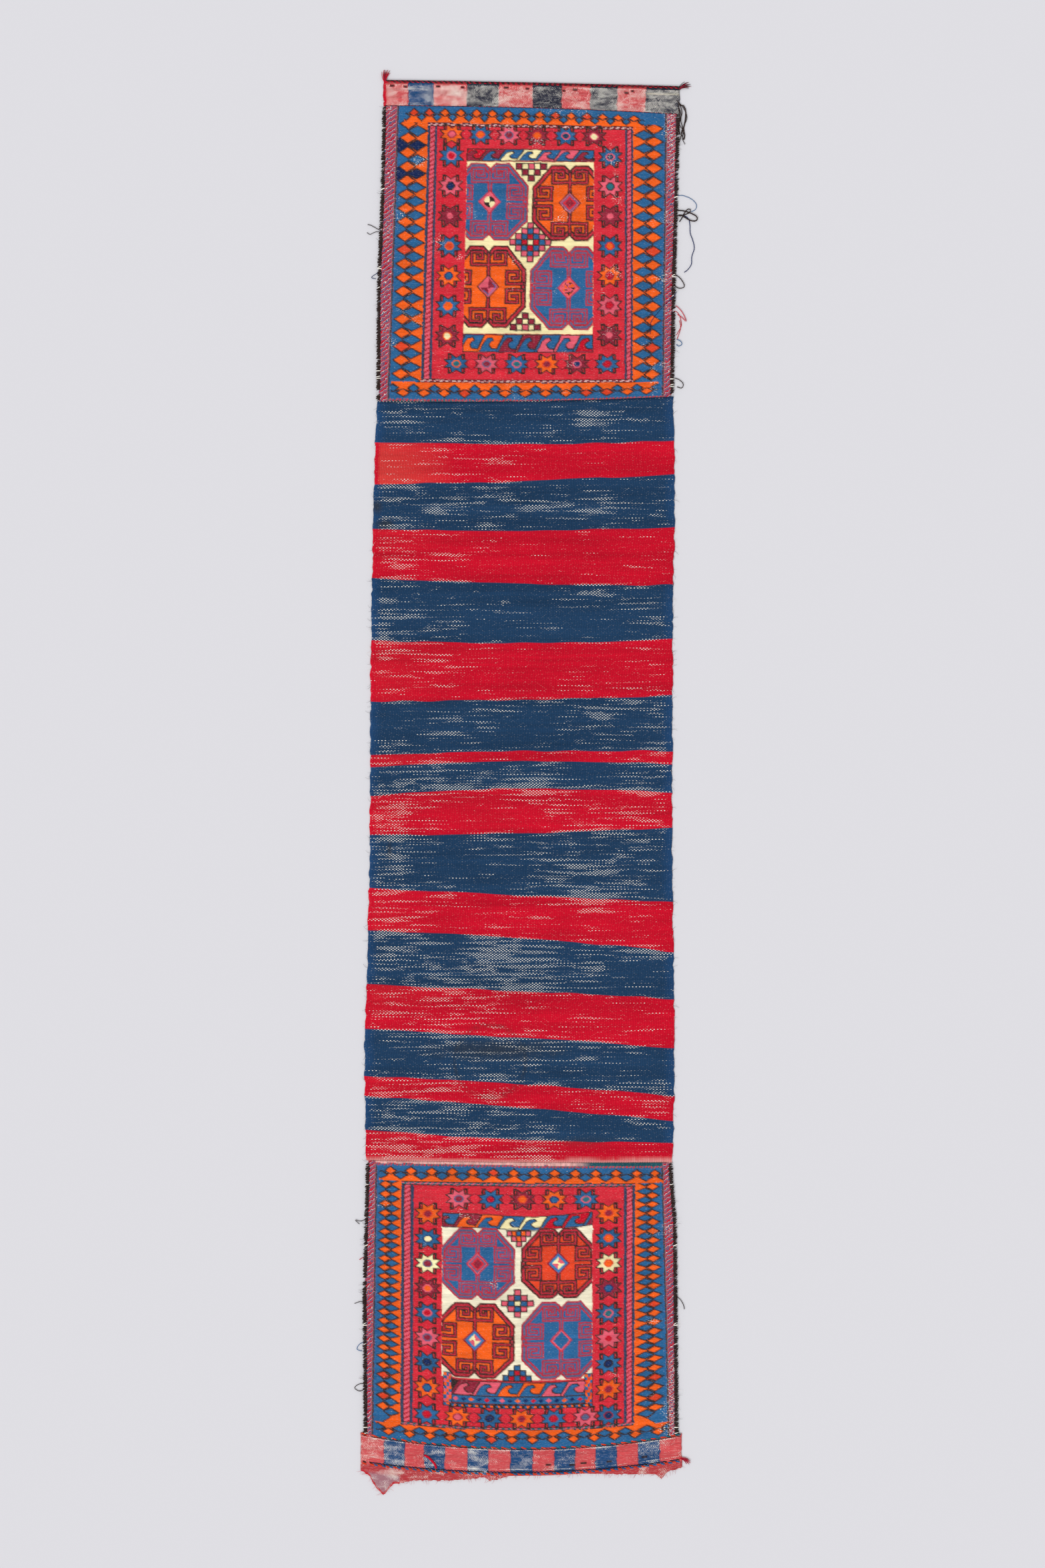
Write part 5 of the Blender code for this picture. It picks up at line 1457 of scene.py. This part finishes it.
class BAG_OT_lower_band(bpy.types.Operator):
    """Weave the lower closure band with the torn hem past it"""

    bl_idname = "bag.lower_band"
    bl_label = "Lower Closure Band"

    def execute(self, context):
        cloth, yarns = context.scene.bag_cloth, context.scene.bag_yarns
        step = cloth.band_cell
        stations = rows_between(LOWER_END_LINE, LOWER_BAND_LINE, step)
        stations += rows_between(LOWER_BAND_LINE, TWINING_LINE, step)[1:]
        body = len(stations)
        hem_rows = 16
        stations += [TWINING_LINE] * hem_rows
        columns = columns_of(TWINING_LINE, step)
        panel = Panel(stations, columns, -LOWER_BAND_FLARE, seed=51, ragged=0.7)
        hang = np.interp(panel.share[-1], *np.array(HEM).T)
        hang = hang + 1.1 * noise2(panel.x[-1] / 3.5, 0 * hang, 52) * np.clip(hang / 6, 0, 1)
        for j in range(hem_rows):
            panel.d[body + j] += hang * (j + 1) / hem_rows
        rgb, worn, seam = band_blocks(panel, LOWER_BLOCKS, ("faded", "band_blue"), 53)
        # Painted shadow: the wool is darkened along the slits between blocks
        rgb *= 1 - 0.35 * seam[..., None]
        blue = np.searchsorted(np.array([*LOWER_BLOCKS, 1.01]), np.clip(panel.share, 0, 1)) % 2
        wear = 0.2 + 0.5 * worn * (0.4 + blue) + 0.4 * panel.noise(16, 8, 55)
        down = panel.d - level(LOWER_END_LINE, panel.x)
        rows = np.clip(0.7 - np.abs(np.minimum(down - 5, 35.5 - down)), 0, 1)
        rgb[body - 1:] = np.array(yarns.faded) * 0.55 + np.array(yarns.field_red) * 0.2
        wear += 0.9 * rows * (np.arange(panel.shape[0]) < body)[:, None]
        flap = hang[None, :] * (np.arange(panel.shape[0]) - body + 1)[:, None] / hem_rows
        sheer = np.clip((flap - 9) / 5, 0, 1) * (panel.share < 0.12)
        blend(rgb, np.array(yarns.grey) * 0.6 + 0.22, 0.5 * sheer * (flap < hang - 4))
        blend(rgb, yarns.red, np.clip((flap - hang + 3.2) / 1.5, 0, 1) * (panel.share < 0.13))
        stitched(panel, rgb, wear, down, LOWER_STITCHES)
        z = 2.3 + 0.3 * panel.noise(1.8, 2.6, 56) + 0.2 * panel.noise(18, 12, 57)
        z[body:] *= np.linspace(0.95, 0.45, hem_rows)[:, None]
        weave_band("closure_band_lower", panel, z, rgb, wear)
        return {"FINISHED"}


def strand_mesh(name, length, thick, arch=0.0, sway=0.0, centred=True, sides=5, steps=6):
    """One strand of yarn along x, in millimetres: a bead with round ends, or a hair that thins out."""
    verts, faces = [], []
    for i in range(steps + 1):
        t = i / steps
        along = (t - 0.5) * length if centred else t * length
        rise = -arch * (2 * t - 1) ** 2 if centred else arch * t * t
        share = math.sqrt(max(1 - (2 * t - 1) ** 4, 0.08)) if centred else 1 - 0.65 * t
        for k in range(sides):
            turn = 2 * math.pi * k / sides
            y = sway * math.sin(math.pi * t) + thick / 2 * share * math.cos(turn)
            z = rise + thick / 2 * share * math.sin(turn)
            verts.append((along * MM, y * MM, z * MM))
    for i in range(steps):
        for k in range(sides):
            a, b = i * sides + k, i * sides + (k + 1) % sides
            faces.append((a, b, b + sides, a + sides))
    faces.append(tuple(range(sides))[::-1])
    faces.append(tuple(steps * sides + k for k in range(sides)))
    mesh = bpy.data.meshes.new(name)
    mesh.from_pydata(verts, [], faces)
    mesh.shade_smooth()
    return mesh


STRAND_INPUTS = (
    ("Path", "NodeSocketGeometry", None),
    ("Strand", "NodeSocketObject", None),
    ("Spacing", "NodeSocketFloat", 0.003),
    ("Turn", "NodeSocketFloat", 0.0),
    ("Turn spread", "NodeSocketFloat", 0.1),
    ("Roll spread", "NodeSocketFloat", 0.0),
    ("Size spread", "NodeSocketFloat", 0.2),
    ("Keep", "NodeSocketFloat", 1.0),
    ("Bare patches", "NodeSocketFloat", 0.0),
    ("Second share", "NodeSocketFloat", 0.5),
    ("Order", "NodeSocketFloat", 1.0),
    ("Seed", "NodeSocketInt", 1),
    ("First yarn", "NodeSocketMaterial", None),
    ("Second yarn", "NodeSocketMaterial", None),
)


def strand_nodes():
    """Geometry nodes that set a strand on every step of a path, in two yarns, turned and thinned out."""
    tree = bpy.data.node_groups.new("strands_along_path", "GeometryNodeTree")
    for name, kind, value in STRAND_INPUTS:
        socket = tree.interface.new_socket(name=name, in_out="INPUT", socket_type=kind)
        if value is not None:
            socket.default_value = value
    tree.interface.new_socket(name="Geometry", in_out="OUTPUT", socket_type="NodeSocketGeometry")
    nodes = Nodes(tree)
    given = nodes.node("NodeGroupInput")

    def chance(low, high, seed):
        return nodes.node("FunctionNodeRandomValue", {"data_type": "FLOAT"}, {2: low, 3: high, 8: seed}, 1)

    def about(axis, angle):
        return nodes.node("FunctionNodeAxisAngleToRotation", {}, {"Axis": axis, "Angle": angle})

    def turned(rotation, by):
        return nodes.node("FunctionNodeRotateRotation", {"rotation_space": "LOCAL"},
                          {"Rotation": rotation, "Rotate By": by})

    seed = given.output("Seed")
    curve = nodes.node("GeometryNodeMeshToCurve", {}, {0: given.output("Path")})
    points = nodes.node("GeometryNodeCurveToPoints", {"mode": "LENGTH"},
                        {"Curve": curve, "Length": given.output("Spacing")})
    facing = nodes.node("FunctionNodeAlignRotationToVector", {"axis": "X", "pivot_axis": "Z"},
                        {"Vector": points.output("Tangent")})
    spread = given.output("Turn spread")
    roll = given.output("Roll spread")
    facing = turned(facing, about((0, 0, 1), given.output("Turn") + chance(0.0 - spread, spread, seed)))
    facing = turned(facing, about((0, 1, 0), chance(0.0 - roll, roll, seed + 5)))
    grown = given.output("Size spread")
    size = chance(1.0 - grown, 1.0 + grown, seed + 1)
    place = nodes.node("GeometryNodeInputPosition")
    patches = nodes.node("ShaderNodeTexNoise", {}, {"Vector": place, "Scale": 70.0, "Detail": 1.0})
    kept = chance(0.0, 1.0, seed + 2).math("LESS_THAN", given.output("Keep"))
    kept = kept * patches.math("GREATER_THAN", given.output("Bare patches"))
    order = given.output("Order")
    number = nodes.node("GeometryNodeInputIndex").math("MODULO", 2.0)
    pick = number * order + chance(0.0, 1.0, seed + 3) * (1.0 - order)
    second = pick.math("GREATER_THAN", 1.0 - given.output("Second share"))
    strand = nodes.node("GeometryNodeObjectInfo", {}, {"Object": given.output("Strand")}).output("Geometry")
    joined = nodes.node("GeometryNodeJoinGeometry")
    for yarn, share in (("First yarn", 1.0 - second), ("Second yarn", second)):
        placed = nodes.node("GeometryNodeInstanceOnPoints", {},
                            {"Points": points, "Selection": kept * share, "Instance": strand,
                             "Rotation": facing, "Scale": size})
        whole = nodes.node("GeometryNodeRealizeInstances", {}, {0: placed})
        dyed = nodes.node("GeometryNodeSetMaterial", {}, {0: whole, "Material": given.output(yarn)})
        tree.links.new(dyed.socket, joined.socket.node.inputs[0])
    tree.links.new(joined.socket, tree.nodes.new("NodeGroupOutput").inputs[0])
    return tree


def lay_strands(name, paths, strand, yarns, **settings):
    """A mesh of strands in two yarns along paths, lists of (across, down, height) in millimetres."""
    tree = bpy.data.node_groups.get("strands_along_path") or strand_nodes()
    verts, edges = [], []
    for path in paths:
        start = len(verts)
        verts += [tuple(to_frame(*(np.array(float(c)) for c in place))) for place in path]
        edges += [(i, i + 1) for i in range(start, len(verts) - 1)]
    mesh = bpy.data.meshes.new(name)
    mesh.from_pydata(verts, edges, [])
    host = in_scene(name, mesh)
    bead = in_scene(name + "_strand", strand)
    modifier = host.modifiers.new("strands", "NODES")
    modifier.node_group = tree
    given = {key.replace("_", " ").capitalize(): value for key, value in settings.items()}
    given["Strand"] = bead
    given["First yarn"], given["Second yarn"] = (finish_of(key) for key in yarns)
    for item in tree.interface.items_tree:
        if item.in_out == "INPUT" and item.name in given:
            modifier[item.identifier] = given[item.name]
    graph = bpy.context.evaluated_depsgraph_get()
    made = bpy.data.meshes.new_from_object(host.evaluated_get(graph))
    host.modifiers.clear()
    bpy.data.objects.remove(host)
    bpy.data.objects.remove(bead)
    if len(made.polygons) == 0:
        raise RuntimeError(name + " came out empty")
    made.name = name
    piece = in_scene(name, made)
    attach(piece, "root")
    return piece


def cross_path(line, drop, height, flare=0.0):
    """Places along a cross line from side to side, a little way down from it."""
    return [(x, d + drop, height) for x, d in across_line(line, np.linspace(0.012, 0.988, 120), -flare)]


def side_path(sign, first, last, inset, height):
    """Places along a side edge between two distances from the upper end."""
    places = np.arange(first, last, 6.0)
    return [(float(x), float(d), height) for x, d in zip(edge_x(sign, places, inset), places)]


class BAG_OT_whippings(bpy.types.Operator):
    """Wind what is left of the seam yarn over the side edges of the faces"""

    bl_idname = "bag.whippings"
    bl_label = "Whippings"

    def execute(self, context):
        for name, sign, first, last in (
            ("upper_left", -1, UPPER_FACE_LINE[0] + UPPER_FACE_LINE[1], UPPER_FACE_END),
            ("upper_right", 1, UPPER_FACE_LINE[0] + UPPER_FACE_LINE[2],
             UPPER_END_LINE[0] + UPPER_END_LINE[2]),
            ("lower_left", -1, LOWER_FACE_TOP, LOWER_END_LINE[0] + LOWER_END_LINE[1]),
            ("lower_right", 1, LOWER_FACE_TOP, LOWER_END_LINE[0] + LOWER_END_LINE[2]),
        ):
            wrap = strand_mesh("wrap", 7.4, 1.7, arch=1.7, steps=7)
            path = side_path(sign, first + 2, last - 1, 2.4, 3.1)
            piece = lay_strands(
                "whipping_of_yarn_" + name, [path], wrap, ("dark", "pale"), spacing=0.0015,
                turn=math.pi / 2 + 0.25, turn_spread=0.4, roll_spread=0.1, size_spread=0.25, keep=0.94,
                bare_patches=0.3, second_share=0.06, order=0.0, seed=7)
            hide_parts("whipping_" + name)
        return {"FINISHED"}


class BAG_OT_twinings(bpy.types.Operator):
    """Twine the lines above and below the closure bands"""

    bl_idname = "bag.twinings"
    bl_label = "Twined Lines"

    def execute(self, context):
        for name, line, drop, length, thick, spacing, yarns, flare in (
            ("top_outer", TOP_LINE, 1.0, 5.4, 1.7, 0.0042, ("dark", "maroon"), 0),
            ("top_inner", TOP_LINE, 3.1, 4.6, 1.4, 0.0041, ("red", "dark"), 0),
            ("under_band", UPPER_FACE_LINE, -0.2, 4.8, 1.7, 0.0038, ("dark", "maroon"), 0),
            ("over_band", LOWER_END_LINE, 0.6, 9.6, 2.6, 0.0080, ("orange", "teal"), LOWER_BAND_FLARE),
            ("over_band_edge", LOWER_END_LINE, 2.9, 9.0, 1.2, 0.0070, ("dark", "dark"), LOWER_BAND_FLARE),
            ("bottom_outer", TWINING_LINE, -1.4, 7.6, 2.5, 0.0062, ("orange", "sky"), LOWER_BAND_FLARE),
            ("bottom_inner", TWINING_LINE, -4.4, 6.4, 1.9, 0.0052, ("dark", "navy"), LOWER_BAND_FLARE),
        ):
            strand = strand_mesh("twist", length, thick, arch=0.25)
            piece = lay_strands(
                "twining_" + name, [cross_path(line, drop, 2.6, flare)], strand, yarns, spacing=spacing,
                turn=-0.26, turn_spread=0.12, size_spread=0.1, keep=0.98, second_share=0.5, order=1.0,
                seed=3)
        return {"FINISHED"}


class BAG_OT_tufts(bpy.types.Operator):
    """Fray the corners into tufts, and the edges into short fibres"""

    bl_idname = "bag.tufts"
    bl_label = "Tufts and Frayed Fibres"

    def execute(self, context):
        for name, yarn, other, turn, slot in (
            ("upper_left", "red", "maroon", math.pi / 2, "red_wool"),
            ("upper_right", "dark", "maroon", 0.6, "dark_wool"),
            ("lower_right", "red", "maroon", -0.3, "red_wool"),
        ):
            low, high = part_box("corner_tuft_" + name)
            middle = (low + high) / 2 / MM
            reach = max(high.x - low.x, high.y - low.y) / MM
            half = reach / 2
            start = (middle.x - SHIFT[0] - (half + 3) * math.cos(turn),
                     SHIFT[1] - middle.y + (half + 3) * math.sin(turn))
            path = [(start[0] - 1.4, start[1], 2.4), (start[0] + 2.4, start[1] + 0.6, 2.4)]
            strand = strand_mesh("tuft_strand", reach + 5, 1.3, arch=-1.2, sway=1.4, centred=False, steps=7)
            piece = lay_strands(
                "tuft_of_yarn_" + name, [path], strand, (yarn, other), spacing=0.00018, turn=turn,
                turn_spread=0.4, roll_spread=0.06, size_spread=0.2, second_share=0.2, order=0.0, seed=5)
            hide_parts("corner_tuft_" + name)
        hair = strand_mesh("hair", 6.5, 0.34, arch=0.5, sway=0.9, centred=False, sides=3, steps=4)
        sides = [side_path(sign, 8, TWINING_END - 8, 1.0, 1.4) for sign in (-1, 1)]
        piece = lay_strands(
            "frayed_fibres_sides", sides, hair, ("dark", "pale"), spacing=0.0034, turn=0.0, turn_spread=3.1,
            roll_spread=0.15, size_spread=0.6, keep=0.75, second_share=0.35, order=0.0, seed=9)
        hem = [[(x, d + drop - 1.5, 1.0) for (x, d), drop in zip(
            across_line(TWINING_LINE, np.linspace(0, 1, 90), -LOWER_BAND_FLARE),
            np.interp(np.linspace(0, 1, 90), *np.array(HEM).T))]]
        piece = lay_strands(
            "frayed_fibres_hem", hem, hair, ("red", "pale"), spacing=0.0024, turn=-math.pi / 2,
            turn_spread=1.0, roll_spread=0.15, size_spread=0.5, keep=0.8, second_share=0.25, order=0.0,
            seed=13)
        return {"FINISHED"}


def smooth_route(points, spacing):
    """Places at an even spacing on a smooth curve through a route's points."""
    dense = []
    padded = [points[0], *points, points[-1]]
    for a, b, c, d in zip(padded, padded[1:], padded[2:], padded[3:]):
        a, b, c, d = (Vector(v) for v in (a, b, c, d))
        for i in range(12):
            t = i / 12
            dense.append(0.5 * (2 * b + (c - a) * t + (2 * a - 5 * b + 4 * c - d) * t * t
                                + (3 * b - a - 3 * c + d) * t ** 3))
    dense.append(Vector(points[-1]))
    travel = [0.0]
    for a, b in zip(dense, dense[1:]):
        travel.append(travel[-1] + (b - a).length)
    count = max(int(travel[-1] / spacing), 4)
    places = []
    for i in range(count + 1):
        want = travel[-1] * i / count
        j = min(max(bisect.bisect_right(travel, want), 1), len(dense) - 1)
        share = (want - travel[j - 1]) / max(travel[j] - travel[j - 1], 1e-9)
        places.append(dense[j - 1].lerp(dense[j], share))
    return places, travel[-1]


def yarn_curve(name, routes, thick, yarn):
    """Round yarns along routes of places in millimetres."""
    data = bpy.data.curves.new(name, "CURVE")
    data.dimensions = "3D"
    data.bevel_depth = thick / 2 * MM
    data.bevel_resolution = 2
    data.use_fill_caps = True
    for places in routes:
        spline = data.splines.new("POLY")
        spline.points.add(len(places) - 1)
        for point, place in zip(spline.points, places):
            point.co = (*(place * MM), 1)
    data.materials.append(finish_of(yarn))
    piece = in_scene(name, data)
    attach(piece, "root")
    return piece


class BAG_OT_seam_yarns(bpy.types.Operator):
    """Lay the loose ends of seam yarn beside the right edge"""

    bl_idname = "bag.seam_yarns"
    bl_label = "Loose Seam Yarns"

    def execute(self, context):
        for name, thick, yarn, route in SEAM_YARNS:
            low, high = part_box(name)
            start = (low.x / MM, high.y / MM - thick / 2, thick / 2)
            points = [(start[0] + out, start[1] - down, start[2]) for out, down in route]
            places, length = smooth_route(points, 3 * thick)
            piece = yarn_curve(name.replace("seam_yarn", "loose_yarn"), [places], thick, yarn)
            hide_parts(name)
            [c * MM for c in start]
            length * MM
            thick * MM
        return {"FINISHED"}


class BAG_OT_threads(bpy.types.Operator):
    """Lay the short frayed threads and loops along the sides"""

    bl_idname = "bag.threads"
    bl_label = "Frayed Threads"

    def execute(self, context):
        for number, (yarn, thick, height, route) in enumerate(THREADS):
            points = [(x + SHIFT[0], SHIFT[1] - d, height) for x, d in route]
            places, _ = smooth_route(points, 2 * thick)
            piece = yarn_curve("frayed_thread_%02d" % (number + 1), [places], thick, yarn)
        return {"FINISHED"}


class BAG_OT_stage(bpy.types.Operator):
    """Set the floor, the light and the camera"""

    bl_idname = "bag.stage"
    bl_label = "Stage"

    def execute(self, context):
        stage = context.scene.bag_stage
        mesh = bpy.data.meshes.new("floor")
        signs = ((-1, -1), (1, -1), (1, 1), (-1, 1))
        corners = [(x * FLOOR_HALF, y * FLOOR_HALF, -FLOOR_DROP) for x, y in signs]
        mesh.from_pydata(corners, [], [(0, 1, 2, 3)])
        floor = in_scene("floor", mesh)
        finish = Finish("pale_floor", 0.9)
        finish.shader.inputs["Base Color"].default_value = opaque(stage.floor)
        mesh.materials.append(finish.material)
        world = bpy.data.worlds.new("studio")
        world.use_nodes = True
        world.node_tree.nodes["Background"].inputs["Color"].default_value = (1, 1, 1, 1)
        world.node_tree.nodes["Background"].inputs["Strength"].default_value = stage.sky
        context.scene.world = world
        lamp = bpy.data.lights.new("soft_sun", "SUN")
        lamp.energy = stage.sun
        lamp.angle = LAMP_ANGLE
        in_scene("soft_sun", lamp).rotation_euler = (LAMP_TILT, -LAMP_TILT, 0)
        camera_data = bpy.data.cameras.new("camera")
        camera = in_scene("camera", camera_data)
        camera_data.sensor_width = SENSOR
        camera_data.lens = SENSOR * stage.height / stage.frame_height
        camera_data.clip_end = 50
        place = to_frame(np.array(stage.centre_x / MM), np.array(stage.centre_d / MM), np.array(0.0))
        camera.location = (place[0], place[1], stage.height)
        context.scene.camera = camera
        context.scene.view_settings.view_transform = "Standard"
        return {"FINISHED"}


PIECES = (
    BAG_OT_stage, BAG_OT_seam_yarns, BAG_OT_threads, BAG_OT_upper_band, BAG_OT_upper_face, BAG_OT_stripes,
    BAG_OT_lower_face, BAG_OT_lower_band, BAG_OT_whippings, BAG_OT_twinings, BAG_OT_tufts,
)


class BAG_PT_panel(bpy.types.Panel):
    """Lists the pieces of the saddle bag"""

    bl_idname = "BAG_PT_panel"
    bl_label = "Saddle Bag"
    bl_space_type = "VIEW_3D"
    bl_region_type = "UI"
    bl_category = "Saddle Bag"

    def draw(self, context):
        for piece in PIECES:
            self.layout.operator(piece.bl_idname)
        for group in (context.scene.bag_yarns, context.scene.bag_cloth, context.scene.bag_stage):
            for key in group.bl_rna.properties.keys():
                if key not in ("rna_type", "name"):
                    self.layout.prop(group, key)


CLASSES = (BagYarns, BagCloth, BagStage, *PIECES, BAG_PT_panel)


def register():
    """Register the classes and the scene's settings."""
    for each in CLASSES:
        bpy.utils.register_class(each)
    bpy.types.Scene.bag_yarns = bpy.props.PointerProperty(type=BagYarns)
    bpy.types.Scene.bag_cloth = bpy.props.PointerProperty(type=BagCloth)
    bpy.types.Scene.bag_stage = bpy.props.PointerProperty(type=BagStage)


def unregister():
    """Remove what register added."""
    del bpy.types.Scene.bag_stage
    del bpy.types.Scene.bag_cloth
    del bpy.types.Scene.bag_yarns
    for each in reversed(CLASSES):
        bpy.utils.unregister_class(each)


def main():
    """Make every piece."""
    register()
    for piece in PIECES:
        group, name = piece.bl_idname.split(".")
        getattr(getattr(bpy.ops, group), name)()


if __name__ == "__main__":
    main()
